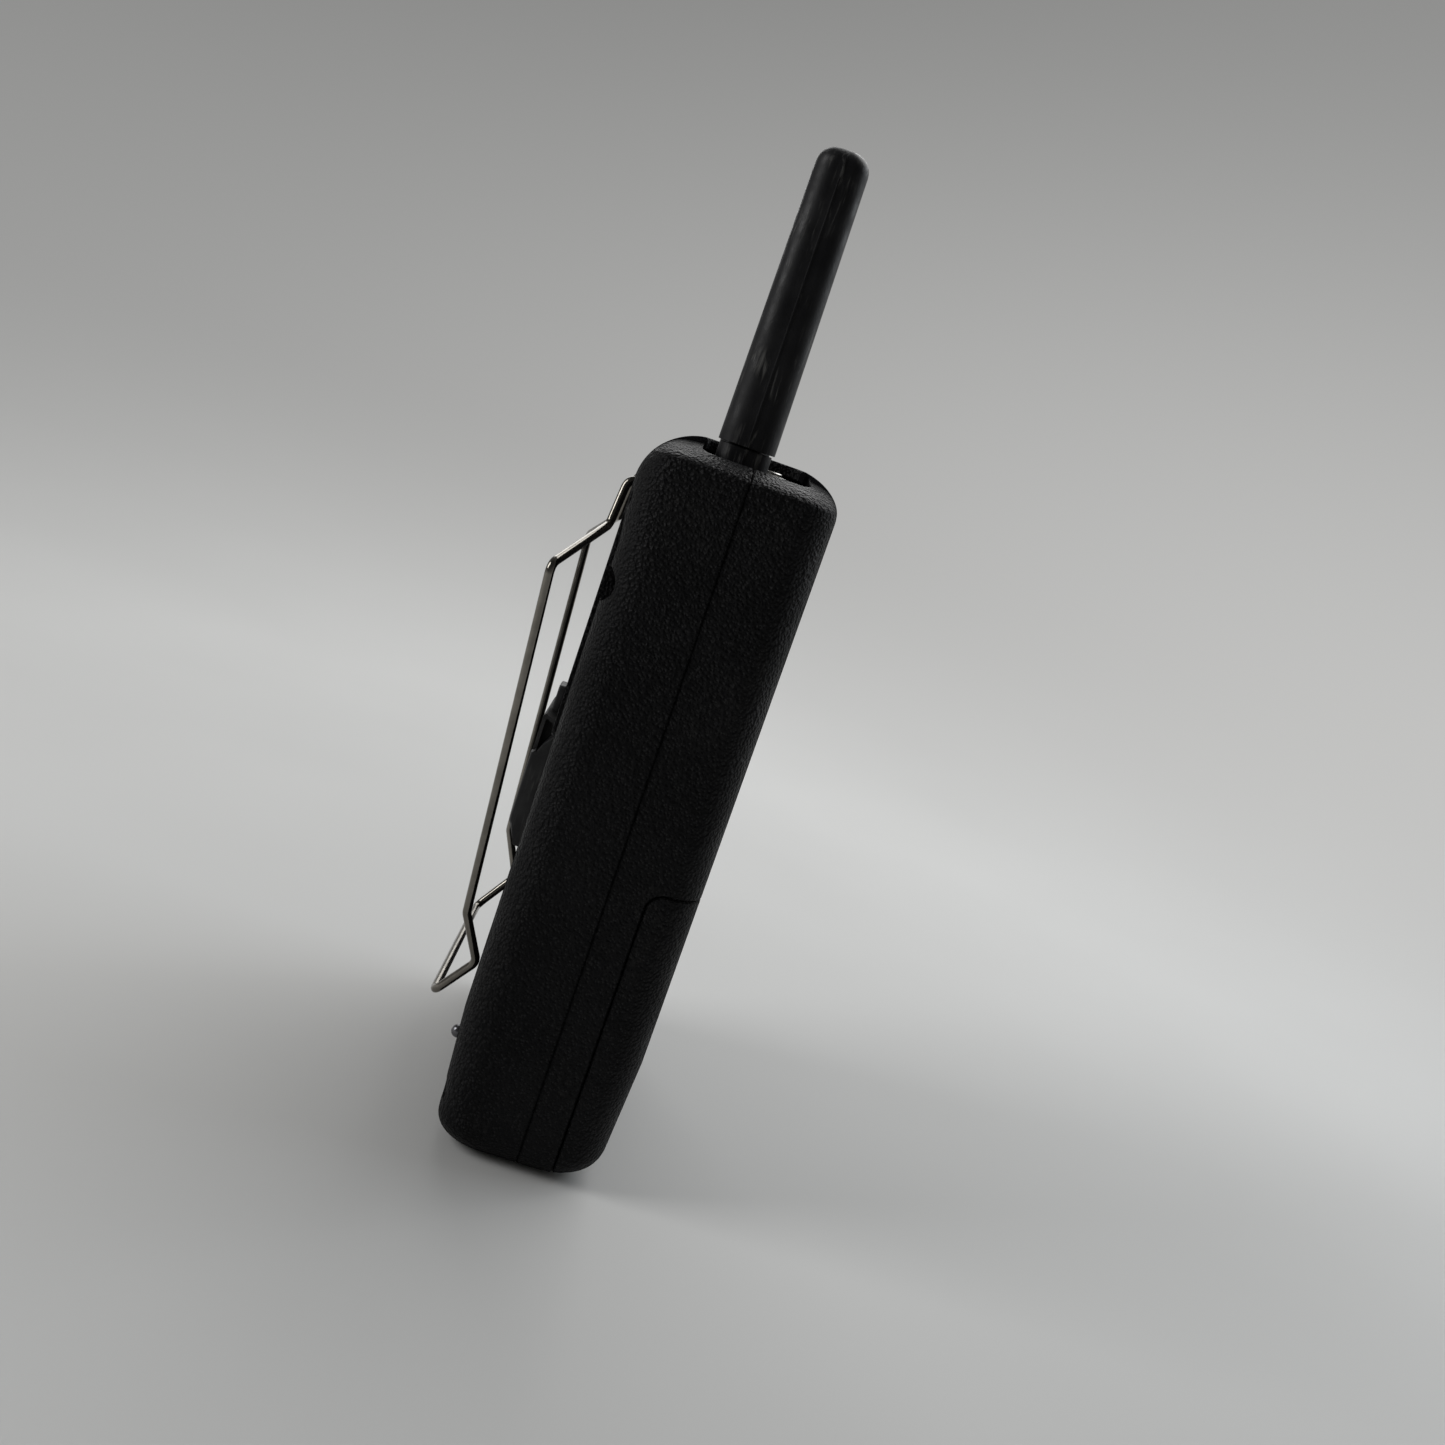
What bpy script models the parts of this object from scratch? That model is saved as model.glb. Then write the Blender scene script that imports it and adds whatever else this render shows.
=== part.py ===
"""Portable two-way radio with a stub antenna, a wire belt clip and a sliding battery door.

Frame: +Z runs up the radio, the origin is the middle of the flat foot it stands on.
The front (display, keys, battery door) faces -Y and the back (belt clip) faces +Y.
Dimensions below are millimetres and are turned into metres by mm().
"""

import math

import bmesh
import bpy
from mathutils import Matrix, Vector

# ---------------------------------------------------------------- case
BODY_HALF_WIDTH = 39.0
BODY_HEIGHT = 132.0
FRONT_Y = -16.5
BACK_Y = 16.5
WALL = 2.0
GAP = 0.3
SEAM_Y = -0.9
CORNER_RADIUS = 6.2
FOOT_RADIUS = (5.5, 7.5, 6.0)
TOP_RADIUS = (10.0, 6.5)
TOP_CROWN = 5.0
TAPER_TOP = 25.0
BACK_TAPER = 0.06
FRONT_TAPER = 0.06
BACK_SWELL = (112.0, 119.0, 0.8)

# ---------------------------------------------------------------- battery bay
DOOR_TOP = 57.2
DOOR_BACK_Y = -7.5
DOOR_CORNER = 3.0
CELL_RADIUS = 7.0
CELL_LENGTH = 50.0
CELL_PITCH = 14.9
CELL_Y = -5.4
CELL_BASE = 6.4
CELL_COUNT = 4
CONTACT_HEIGHT = 2.4
TRAY_FLOOR = 2.6
TRAY_WALL = 0.8
TRAY_HALF_WIDTH = 30.35

# ---------------------------------------------------------------- fasteners
SCREW_X = 33.5
SCREW_HEIGHTS = (9.0, 119.0)
SCREW_SEAT_Y = 11.2
BOSS_RADIUS = 2.7
BOSS_TOP_Y = (13.1, 15.0)
CLIP_SCREW_X = 6.5
CLIP_SCREW_Z = 115.4

# ---------------------------------------------------------------- belt clip
WIRE_RADIUS = 0.8
CLIP_AXIS = (14.2, 120.8)
CLIP_BAR_HALF = 13.0
CLIP_HOOK_Y = 19.0
CLIP_SHOULDER = (15.0, 19.7, 111.9)
CLIP_KINK = (36.4, 25.6, 104.5)
CLIP_LOWER_BEND = (27.6, 21.6, 39.4)
CLIP_BELLY = (25.9, 17.3, 30.4)
CLIP_TIP = (24.5, 23.1, 22.0)
BRACKET_HALF_WIDTH = 10.7
BRACKET_SPAN = (111.7, 123.0)
BRACKET_Y = (15.6, 17.2)

# ---------------------------------------------------------------- back panel and strap post
PANEL_HALF_WIDTH = 31.0
PANEL_SPAN = (75.2, 120.5)
PANEL_Y = 17.3
LANYARD = (-34.3, 104.1)
LANYARD_RADIUS = 3.0
LANYARD_FLOOR_Y = 10.2

# ---------------------------------------------------------------- rear port
PORT_HALF_WIDTH = 12.0
PORT_BASE_Z = 48.9
PORT_TOP_Z = 74.4
PORT_TAB_Z = 79.1
PORT_JACK_Z = (62.4, 71.4)
PORT_INNER_Y = 16.8
PORT_OUTER_Y = 20.5
PORT_HEAD_HALF = 9.5

# ---------------------------------------------------------------- top controls
WELL_X = (-32.0, 4.0)
WELL_Y = (-10.3, 7.6)
WELL_Z = (124.7, 129.1)
WELL_FLOOR = 126.1
ANTENNA_X = -20.0
ANTENNA_Y = 1.2
ANTENNA_BASE = 132.6
ANTENNA_TOP = 183.6
ANTENNA_FOOT = (5.5, 5.1)
ANTENNA_CROWN = (4.9, 4.55)
JACK_X = -6.0
JACK_Y = -4.5
KNOB_X = 22.0
KNOB_Y = 0.5
KNOB_BASE = 132.1
KNOB_TOP = 139.5
KNOB_RADIUS = 5.2

# ---------------------------------------------------------------- front panel
DISPLAY_HALF_WIDTH = 24.7
DISPLAY_SPAN = (98.8, 122.2)
KEY_NAMES = ("power", "menu", "up", "down", "call")
KEY_PITCH = 12.0
KEY_Z = 91.5
KEY_SIZE = (9.0, 6.0)
KEY_PROUD = 0.4
SPEAKER_Z = 73.8
SPEAKER_RADIUS = 13.0
GRILLE_SLOTS = 9
GRILLE_PITCH = 2.6
MIC_X = 25.0
MIC_Z = 66.0
LED_X = 31.0
LED_Z = 104.0

# ---------------------------------------------------------------- side button
PTT_Y = (-9.6, -2.5)
PTT_Z = (86.3, 107.7)
PTT_OUTER_X = 40.4

# ---------------------------------------------------------------- charging
CONTACT_X = 22.0
CONTACT_Z = 14.8

RING_CORNER_STEPS = 4
ROUND_STEPS = 24


def mm(*values):
    """Millimetres to metres, one value or a tuple."""
    if len(values) == 1:
        return values[0] * 0.001
    return tuple(value * 0.001 for value in values)


# ================================================================ scene set-up
def clear_scene():
    for item in list(bpy.data.objects):
        bpy.data.objects.remove(item, do_unlink=True)


def make_collection(name):
    collection = bpy.data.collections.new(name)
    bpy.context.scene.collection.children.link(collection)
    return collection


def make_material(name, colour, roughness, metallic=0.0):
    material = bpy.data.materials.new(name)
    material.use_nodes = True
    shader = material.node_tree.nodes["Principled BSDF"]
    shader.inputs["Base Color"].default_value = (*colour, 1.0)
    shader.inputs["Roughness"].default_value = roughness
    shader.inputs["Metallic"].default_value = metallic
    material.diffuse_color = (*colour, 1.0)
    return material


clear_scene()
PARTS = make_collection("portable_radio")
CUTTERS = make_collection("cutters")
ROOT = bpy.data.objects.new("radio_frame", None)
PARTS.objects.link(ROOT)

CASE_PLASTIC = make_material("case_plastic", (0.012, 0.012, 0.013), 0.5)
INNER_PLASTIC = make_material("inner_plastic", (0.03, 0.03, 0.032), 0.6)
RUBBER = make_material("rubber", (0.010, 0.010, 0.010), 0.75)
SPRING_STEEL = make_material("spring_steel", (0.62, 0.61, 0.58), 0.22, 1.0)
DARK_STEEL = make_material("dark_steel", (0.20, 0.20, 0.21), 0.35, 1.0)
BRASS = make_material("brass", (0.72, 0.52, 0.22), 0.3, 1.0)
CLEAR_WINDOW = make_material("clear_window", (0.08, 0.09, 0.09), 0.08)
CIRCUIT_BOARD = make_material("circuit_board", (0.02, 0.16, 0.07), 0.5)
CELL_WRAP = make_material("cell_wrap", (0.10, 0.10, 0.12), 0.35)
CONE_PAPER = make_material("cone_paper", (0.05, 0.05, 0.055), 0.9)


# ================================================================ shape helpers
def add_object(name, data, material, collection=None):
    item = bpy.data.objects.new(name, data)
    (collection or PARTS).objects.link(item)
    if material is not None:
        data.materials.append(material)
    item.parent = ROOT
    return item


def mark_cutter(item):
    """Move a guide shape out of the radio's own collection."""
    for collection in list(item.users_collection):
        collection.objects.unlink(item)
    CUTTERS.objects.link(item)
    item.hide_render = True
    item.display_type = "WIRE"
    return item


def smooth(mesh, angle=40.0):
    mesh.shade_smooth()
    mesh.set_sharp_from_angle(angle=math.radians(angle))


def box(name, low, high, material=None, radius=0.0, axis=2, segments=3):
    """A box between two corners whose edges along one axis may be rounded."""
    low = Vector(mm(*low))
    high = Vector(mm(*high))
    size = high - low
    shape = bmesh.new()
    bmesh.ops.create_cube(shape, size=1.0, matrix=Matrix.Diagonal((*size, 1.0)))
    if radius > 0.0:
        upright = [edge for edge in shape.edges
                   if abs((edge.verts[0].co - edge.verts[1].co)[axis]) > size[axis] * 0.5]
        bmesh.ops.bevel(shape, geom=upright, offset=mm(radius), segments=segments,
                        profile=0.5, affect="EDGES")
    mesh = bpy.data.meshes.new(name)
    shape.to_mesh(mesh)
    shape.free()
    item = add_object(name, mesh, material)
    item.location = (low + high) * 0.5
    return item


AXIS_TURN = {
    "z": (0.0, 0.0, 0.0),
    "front": (math.pi / 2, 0.0, 0.0),
    "back": (-math.pi / 2, 0.0, 0.0),
}


def turned(name, profile, place, material=None, axis="z", closed=False, steps=ROUND_STEPS):
    """A solid of revolution; the profile lists (radius, height) down its outer side."""
    mesh = bpy.data.meshes.new(name)
    points = [mm(radius, 0.0, height) for radius, height in profile]
    edges = [(index, index + 1) for index in range(len(points) - 1)]
    if closed:
        edges.append((len(points) - 1, 0))
    mesh.from_pydata(points, edges, [])
    item = add_object(name, mesh, material)
    screw = item.modifiers.new("turn", "SCREW")
    screw.steps = steps
    screw.render_steps = steps
    screw.use_merge_vertices = True
    screw.merge_threshold = 1e-6
    screw.use_smooth_shade = True
    item.location = mm(*place)
    item.rotation_euler = AXIS_TURN[axis]
    return item


def rod(name, radius, low, high, place, material=None, axis="z", steps=16):
    """A plain round bar from low to high along its axis."""
    profile = [(0.0, high), (radius, high), (radius, low), (0.0, low)]
    return turned(name, profile, place, material, axis, steps=steps)


def stepped_bore(name, radii, seat, low, place):
    """A cutter for a screw that goes in from the back: a wide bore down to a seat, then a narrow one."""
    wide, narrow = radii
    profile = [(0.0, 30.0), (wide, 30.0), (wide, seat), (narrow, seat), (narrow, low), (0.0, low)]
    return turned(name, profile, place, axis="back", steps=16)


def loft(name, rings, material=None):
    """A closed skin through rings that have the same number of points."""
    shape = bmesh.new()
    levels = [[shape.verts.new(mm(*point)) for point in ring] for ring in rings]
    count = len(levels[0])
    for lower, upper in zip(levels, levels[1:]):
        for index in range(count):
            after = (index + 1) % count
            shape.faces.new((lower[index], lower[after], upper[after], upper[index]))
    shape.faces.new(list(reversed(levels[0])))
    shape.faces.new(levels[-1])
    bmesh.ops.triangulate(shape, faces=shape.faces)
    mesh = bpy.data.meshes.new(name)
    shape.to_mesh(mesh)
    shape.free()
    smooth(mesh)
    return add_object(name, mesh, material)


def rounded_ring(x_low, x_high, y_low, y_high, radius, height):
    """A level rounded rectangle, anticlockwise from above."""
    ring = []
    corners = ((x_high, y_high, 0), (x_low, y_high, 90), (x_low, y_low, 180), (x_high, y_low, 270))
    for corner_x, corner_y, start in corners:
        centre_x = corner_x - math.copysign(radius, corner_x - (x_low + x_high) / 2)
        centre_y = corner_y - math.copysign(radius, corner_y - (y_low + y_high) / 2)
        for step in range(RING_CORNER_STEPS + 1):
            angle = math.radians(start + 90.0 * step / RING_CORNER_STEPS)
            ring.append((centre_x + radius * math.cos(angle),
                         centre_y + radius * math.sin(angle), height))
    return ring


def rounded_path(corners, radius, steps=4):
    """Points along a path whose corners are rounded, ends kept."""
    corners = [Vector(corner) for corner in corners]
    path = [corners[0]]
    for before, corner, after in zip(corners, corners[1:], corners[2:]):
        inward = (before - corner).normalized()
        outward = (after - corner).normalized()
        half_turn = inward.angle(outward) / 2
        trim = min(radius / math.tan(half_turn), (before - corner).length * 0.45,
                   (after - corner).length * 0.45)
        start = corner + inward * trim
        end = corner + outward * trim
        for step in range(steps + 1):
            part = step / steps
            path.append((1 - part) ** 2 * start + 2 * part * (1 - part) * corner + part ** 2 * end)
    path.append(corners[-1])
    return path


def wire(name, path, radius, material, origin=(0.0, 0.0, 0.0)):
    """A round wire along a path, with its own origin on a joint where it has one."""
    curve = bpy.data.curves.new(name, "CURVE")
    curve.dimensions = "3D"
    curve.bevel_depth = mm(radius)
    curve.bevel_resolution = 2
    curve.use_fill_caps = True
    spline = curve.splines.new("POLY")
    spline.points.add(len(path) - 1)
    start = Vector(origin)
    for point, target in zip(path, spline.points):
        target.co = (*mm(*(Vector(point) - start)), 1.0)
    item = add_object(name, curve, material)
    item.location = mm(*origin)
    return item


def side_plate(name, outline, half_width, material):
    """A (y, z) outline drawn out along X, as a mesh that can be cut."""
    curve = bpy.data.curves.new(name, "CURVE")
    curve.dimensions = "2D"
    curve.fill_mode = "BOTH"
    curve.extrude = mm(half_width)
    spline = curve.splines.new("POLY")
    spline.points.add(len(outline) - 1)
    for point, target in zip(outline, spline.points):
        target.co = (*mm(*point), 0.0, 1.0)
    spline.use_cyclic_u = True
    guide = bpy.data.objects.new(name + "_outline", curve)
    PARTS.objects.link(guide)
    guide.matrix_world = Matrix(((0, 0, 1, 0), (1, 0, 0, 0), (0, 1, 0, 0), (0, 0, 0, 1)))
    bpy.context.view_layer.update()
    mesh = bpy.data.meshes.new_from_object(guide.evaluated_get(
        bpy.context.evaluated_depsgraph_get()))
    shape = bmesh.new()
    shape.from_mesh(mesh)
    bmesh.ops.remove_doubles(shape, verts=shape.verts, dist=1e-6)
    bmesh.ops.recalc_face_normals(shape, faces=shape.faces)
    shape.to_mesh(mesh)
    shape.free()
    item = add_object(name, mesh, material)
    item.matrix_world = guide.matrix_world.copy()
    bpy.data.objects.remove(guide, do_unlink=True)
    return item


def boolean(target, tool, operation):
    modifier = target.modifiers.new(tool.name, "BOOLEAN")
    modifier.operation = operation
    modifier.solver = "EXACT"
    modifier.object = mark_cutter(tool)
    return target


def cut(target, *tools):
    for tool in tools:
        boolean(target, tool, "DIFFERENCE")
    return target


def join(target, *tools):
    for tool in tools:
        boolean(target, tool, "UNION")
    return target


# ================================================================ case form
def round_in(distance, radius):
    """How far a rounded edge has drawn in at a distance from the end of the form."""
    if distance >= radius:
        return 0.0
    return radius - math.sqrt(max(radius ** 2 - (radius - distance) ** 2, 0.0))


def case_ring(height, inset):
    """The case's outline at one height, drawn in by inset on every side."""
    low = height - inset
    high = BODY_HEIGHT - inset - height
    taper = max(TAPER_TOP - height, 0.0)
    start, end, proud = BACK_SWELL
    swell = proud * min(max((height - start) / (end - start), 0.0), 1.0)
    back = BACK_Y + swell * (inset == 0.0) - inset - BACK_TAPER * taper
    back -= round_in(low, FOOT_RADIUS[0] - inset) + round_in(high, TOP_RADIUS[0] - inset)
    front = FRONT_Y + inset + FRONT_TAPER * taper
    front += round_in(low, FOOT_RADIUS[1] - inset) + round_in(high, TOP_RADIUS[1] - inset)
    crown = math.sqrt(1.0 - max(1.0 - high / TOP_CROWN, 0.0) ** 2)
    half_width = (BODY_HALF_WIDTH - inset - round_in(low, FOOT_RADIUS[2] - inset)) * crown
    radius = min(CORNER_RADIUS - inset, half_width * 0.6, (back - front) * 0.4)
    return rounded_ring(-half_width, half_width, front, back, radius, height)


def case_form(name, inset, material=None):
    """The whole outer form of the case, or the hollow inside it."""
    from_foot = (0.0, 0.5, 1.8, 4.0, 7.0)
    below_top = (10.0, 6.5, 4.0, 2.2, 1.0, 0.3, 0.03)
    heights = [inset + step for step in from_foot]
    heights += [TAPER_TOP, BACK_SWELL[0], BACK_SWELL[1]]
    heights += [BODY_HEIGHT - inset - step for step in below_top]
    return loft(name, [case_ring(height, inset) for height in heights], material)


def half_space(name, y_low, y_high):
    return box(name, (-60, y_low, -20), (60, y_high, 160))


def door_region(name, grow):
    """The block of the case that the battery door takes up."""
    low = (-60.0, -40.0, -20.0)
    high = (60.0, DOOR_BACK_Y - GAP / 2 + grow, DOOR_TOP - GAP / 2 + grow)
    return box(name, low, high, radius=DOOR_CORNER, axis=0)


def well_opening(name):
    low = (WELL_X[0] - GAP, WELL_Y[0] - GAP, WELL_Z[0] - GAP * 3)
    high = (WELL_X[1] + GAP, WELL_Y[1] + GAP, BODY_HEIGHT + 10)
    return box(name, low, high, radius=2.0)


def knob_hole(name):
    return rod(name, 2.1, 120.0, BODY_HEIGHT + 5, (KNOB_X, KNOB_Y, 0))


def sides():
    return (("left", -1), ("right", 1))


def screw_places():
    """Name, X and Z of the four case screws."""
    for height, level in zip(SCREW_HEIGHTS, ("lower", "upper")):
        for side, sign in sides():
            yield f"{level}_{side}", sign * SCREW_X, height


# ================================================================ case pieces
def make_rear_shell():
    shell = case_form("rear_shell", 0.0, CASE_PLASTIC)
    cut(shell, half_space("rear_split", -60, SEAM_Y + GAP / 2), case_form("rear_hollow", WALL))
    for place, x, z in screw_places():
        join(shell, rod(f"rear_boss_{place}", BOSS_RADIUS, 0.5, BOSS_TOP_Y[z > DOOR_TOP], (x, 0, z),
                        axis="back"))
    join(shell,
         box("clip_block", (-16, 10.5, 110), (16, 15.2, 124.6)),
         box("back_panel", (-PANEL_HALF_WIDTH, 15.5, PANEL_SPAN[0]),
             (PANEL_HALF_WIDTH, PANEL_Y, PANEL_SPAN[1]), radius=3.0, axis=1, segments=5))
    for place, x, z in screw_places():
        cut(shell, stepped_bore(f"rear_bore_{place}", (2.15, 1.35), SCREW_SEAT_Y, -1.0, (x, 0, z)))
    bracket_low = (-BRACKET_HALF_WIDTH - GAP, BRACKET_Y[0] - GAP, BRACKET_SPAN[0] - GAP)
    bracket_high = (BRACKET_HALF_WIDTH + GAP, 25.0, BRACKET_SPAN[1] + GAP)
    cut(shell,
        box("bracket_recess", bracket_low, bracket_high, radius=1.5, axis=1),
        box("clip_groove", (-CLIP_BAR_HALF - 1.5, 13.1, CLIP_AXIS[1] - 1.3),
            (CLIP_BAR_HALF + 1.5, 25.0, CLIP_AXIS[1] + 2.7)),
        box("port_window", (-7.2, 10.0, PORT_JACK_Z[0] - 0.7), (7.2, 25.0, PORT_JACK_Z[1] + 0.7),
            radius=1.0, axis=1),
        well_opening("rear_well"), knob_hole("rear_knob_hole"))
    make_lanyard_anchor(shell)
    for side, sign in sides():
        cut(shell,
            rod(f"clip_pilot_{side}", 1.3, 11.2, 20.0, (sign * CLIP_SCREW_X, 0, CLIP_SCREW_Z),
                axis="back"),
            rod(f"contact_hole_{side}", 1.2, 8.0, 25.0, (sign * CONTACT_X, 0, CONTACT_Z),
                axis="back"))
    return shell


def make_lanyard_anchor(shell):
    """A round pocket in the left rear corner, with a post across it for a wrist strap."""
    x, z = LANYARD
    place = (x, 0, z)
    pocket = rod("lanyard_pocket", LANYARD_RADIUS + 1.0, LANYARD_FLOOR_Y - 1.2, 20.0, place,
                 axis="back")
    boolean(pocket, case_form("lanyard_room", 1.0), "INTERSECT")
    join(shell, pocket)
    cut(shell, rod("lanyard_hole", LANYARD_RADIUS, LANYARD_FLOOR_Y, 25.0, place, axis="back"))
    join(shell, rod("lanyard_post", 0.7, z - LANYARD_RADIUS - 0.5, z + LANYARD_RADIUS + 0.5,
                    (x, 13.2, 0)))


def make_front_shell():
    shell = case_form("front_shell", 0.0, CASE_PLASTIC)
    cut(shell, half_space("front_split", SEAM_Y - GAP / 2, 60), case_form("front_hollow", WALL),
        door_region("door_gap", GAP))
    for place, x, z in screw_places():
        if z > DOOR_TOP:
            post = rod(f"front_post_{place}", BOSS_RADIUS - 0.1, 1.35, 15.4, (x, 0, z),
                       axis="front")
        else:
            inner = math.copysign(30.8, x)
            outer = math.copysign(37.5, x)
            post = box(f"front_post_{place}", (min(inner, outer), -6.9, 3.0),
                       (max(inner, outer), -1.35, 13.0))
        join(shell, post)
    for place, x, z in screw_places():
        cut(shell, rod(f"front_pilot_{place}", 1.35, 0.0, 6.5, (x, 0, z), axis="front"))
    cut(shell,
        box("display_rebate", (-DISPLAY_HALF_WIDTH - GAP, -30, DISPLAY_SPAN[0] - GAP),
            (DISPLAY_HALF_WIDTH + GAP, -15.0, DISPLAY_SPAN[1] + GAP), radius=2.0, axis=1),
        box("display_opening", (-21.5, -30, 102), (21.5, -12, 119), radius=1.0, axis=1),
        box("ptt_opening", (30, PTT_Y[0] - GAP, PTT_Z[0] - GAP),
            (50, PTT_Y[1] + GAP, PTT_Z[1] + GAP), radius=1.8, axis=0),
        rod("mic_hole", 0.8, 10.0, 25.0, (MIC_X, 0, MIC_Z), axis="front", steps=12),
        rod("led_hole", 1.8, 10.0, 25.0, (LED_X, 0, LED_Z), axis="front", steps=16),
        well_opening("front_well"), knob_hole("front_knob_hole"))
    for name, x in key_places():
        half_x = KEY_SIZE[0] / 2 + GAP
        half_z = KEY_SIZE[1] / 2 + GAP
        cut(shell, box(f"{name}_opening", (x - half_x, -30, KEY_Z - half_z),
                       (x + half_x, -12, KEY_Z + half_z), radius=1.4, axis=1))
    cut_grille(shell)
    return shell


def cut_grille(shell):
    """Level slots that fill a circle in front of the speaker."""
    reach = SPEAKER_RADIUS - 1.0
    for index in range(GRILLE_SLOTS):
        rise = (index - (GRILLE_SLOTS - 1) / 2) * GRILLE_PITCH
        half = math.sqrt(max(reach ** 2 - rise ** 2, 9.0))
        cut(shell, box(f"grille_slot_{index + 1}", (-half, -30, SPEAKER_Z + rise - 0.6),
                       (half, -12, SPEAKER_Z + rise + 0.6), radius=0.5, axis=1, segments=2))


def make_battery_door():
    door = case_form("battery_door", 0.0, CASE_PLASTIC)
    boolean(door, door_region("door_block", 0.0), "INTERSECT")
    cut(door, case_form("door_hollow", WALL))
    for index in range(5):
        height = DOOR_TOP - 7.0 - 2.0 * index
        cut(door, box(f"grip_groove_{index + 1}", (-9, -20, height - 0.4),
                      (9, FRONT_Y + 0.5, height + 0.4)))
    return door


def make_control_well():
    well = box("control_well", (WELL_X[0], WELL_Y[0], WELL_Z[0]), (WELL_X[1], WELL_Y[1], WELL_Z[1]),
               INNER_PLASTIC, radius=1.8)
    cut(well,
        box("well_hollow", (WELL_X[0] + 1.2, WELL_Y[0] + 1.2, WELL_FLOOR),
            (WELL_X[1] - 1.2, WELL_Y[1] - 1.2, WELL_Z[1] + 5), radius=1.2),
        rod("antenna_hole", 2.0, 120, 135, (ANTENNA_X, ANTENNA_Y, 0)),
        rod("jack_hole", 2.9, 120, 135, (JACK_X, JACK_Y, 0)))
    return well


def make_case_screws():
    for place, x, z in screw_places():
        seat = SCREW_SEAT_Y + GAP
        turned(f"case_screw_{place}",
               [(0, seat + 1.7), (1.85, seat + 1.5), (1.85, seat), (1.05, seat), (1.05, -6.0), (0, -6.0)],
               (x, 0, z), DARK_STEEL, axis="back", steps=14)


# ================================================================ battery bay
def cell_places():
    for index in range(CELL_COUNT):
        yield index + 1, (index - (CELL_COUNT - 1) / 2) * CELL_PITCH, 1 if index % 2 else -1


def make_battery_tray():
    ceiling = CELL_BASE + CELL_LENGTH + CONTACT_HEIGHT + 3 * GAP
    back = CELL_Y + CELL_RADIUS + 0.4
    tray = box("battery_tray", (-TRAY_HALF_WIDTH, -9.6, TRAY_FLOOR),
               (TRAY_HALF_WIDTH, back + TRAY_WALL, ceiling + TRAY_WALL), INNER_PLASTIC)
    cut(tray, box("tray_hollow", (-TRAY_HALF_WIDTH + 0.7, -30, TRAY_FLOOR + TRAY_WALL),
                  (TRAY_HALF_WIDTH - 0.7, back, ceiling)))
    return tray


def make_cells():
    low = CELL_BASE
    high = CELL_BASE + CELL_LENGTH
    for number, x, up in cell_places():
        body_low = low if up > 0 else low + 1.0
        body_high = high - 1.0 if up > 0 else high
        profile = [(0, body_high), (CELL_RADIUS, body_high), (CELL_RADIUS, body_low), (0, body_low)]
        if up > 0:
            profile[:1] = [(0, high), (2.7, high), (2.7, body_high)]
        else:
            profile[-1:] = [(2.7, body_low), (2.7, low), (0, low)]
        turned(f"battery_cell_{number}", profile, (x, CELL_Y, 0), CELL_WRAP, steps=20)


def make_cell_contacts():
    bottom = CELL_BASE - GAP
    top = CELL_BASE + CELL_LENGTH + GAP
    for number, x, up in cell_places():
        nub_level, nub_sign = (top, 1) if up > 0 else (bottom, -1)
        spring_level, spring_sign = (bottom, -1) if up > 0 else (top, 1)
        make_contact_plate(number, x, nub_level, nub_sign)
        make_contact_spring(number, x, spring_level, spring_sign)


def make_contact_plate(number, x, level, sign):
    """A pressed plate whose middle stands out to the cell's nub."""
    outer = level + sign * CONTACT_HEIGHT
    shelf = outer - sign * 0.5
    profile = [(0, level), (1.8, level), (2.4, shelf), (4.6, shelf), (4.6, outer), (0, outer)]
    if sign > 0:
        profile.reverse()
    turned(f"contact_plate_{number}", profile, (x, CELL_Y, 0), SPRING_STEEL, steps=12)


def make_contact_spring(number, x, level, sign):
    """A conical coil of three turns, narrow against the cell."""
    radius = 0.3
    turns = 2.5
    per_turn = 8
    count = int(turns * per_turn)
    length = CONTACT_HEIGHT - 2 * radius
    path = []
    for step in range(count + 1):
        part = step / count
        angle = 2 * math.pi * turns * part
        reach = 1.8 + 2.6 * part
        path.append((x + reach * math.cos(angle), CELL_Y + reach * math.sin(angle),
                     level + sign * (radius + length * part)))
    wire(f"contact_spring_{number}", path, radius, SPRING_STEEL)


# ================================================================ boards and radio parts
def make_boards():
    box("main_board", (-34, 2.0, 61), (34, 3.2, 114), CIRCUIT_BOARD)
    box("rf_board", (-29, 4.6, 8), (29, 5.8, 56), CIRCUIT_BOARD)
    shield = box("rf_shield", (-24, 6.1, 14), (24, 10.6, 50), SPRING_STEEL, radius=1.0, axis=1)
    cut(shield, box("shield_hollow", (-23.5, 0, 14.5), (23.5, 10.1, 49.5), radius=0.6, axis=1))


def make_accessory_jack():
    low, high = PORT_JACK_Z
    jack = box("accessory_jack", (-6.7, 3.5, low), (6.7, 15.2, high), INNER_PLASTIC,
               radius=0.8, axis=1)
    cut(jack, box("jack_socket", (-5.2, 9.0, low + 1.5), (5.2, 20.0, high - 1.5), radius=0.6,
                  axis=1))


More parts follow.
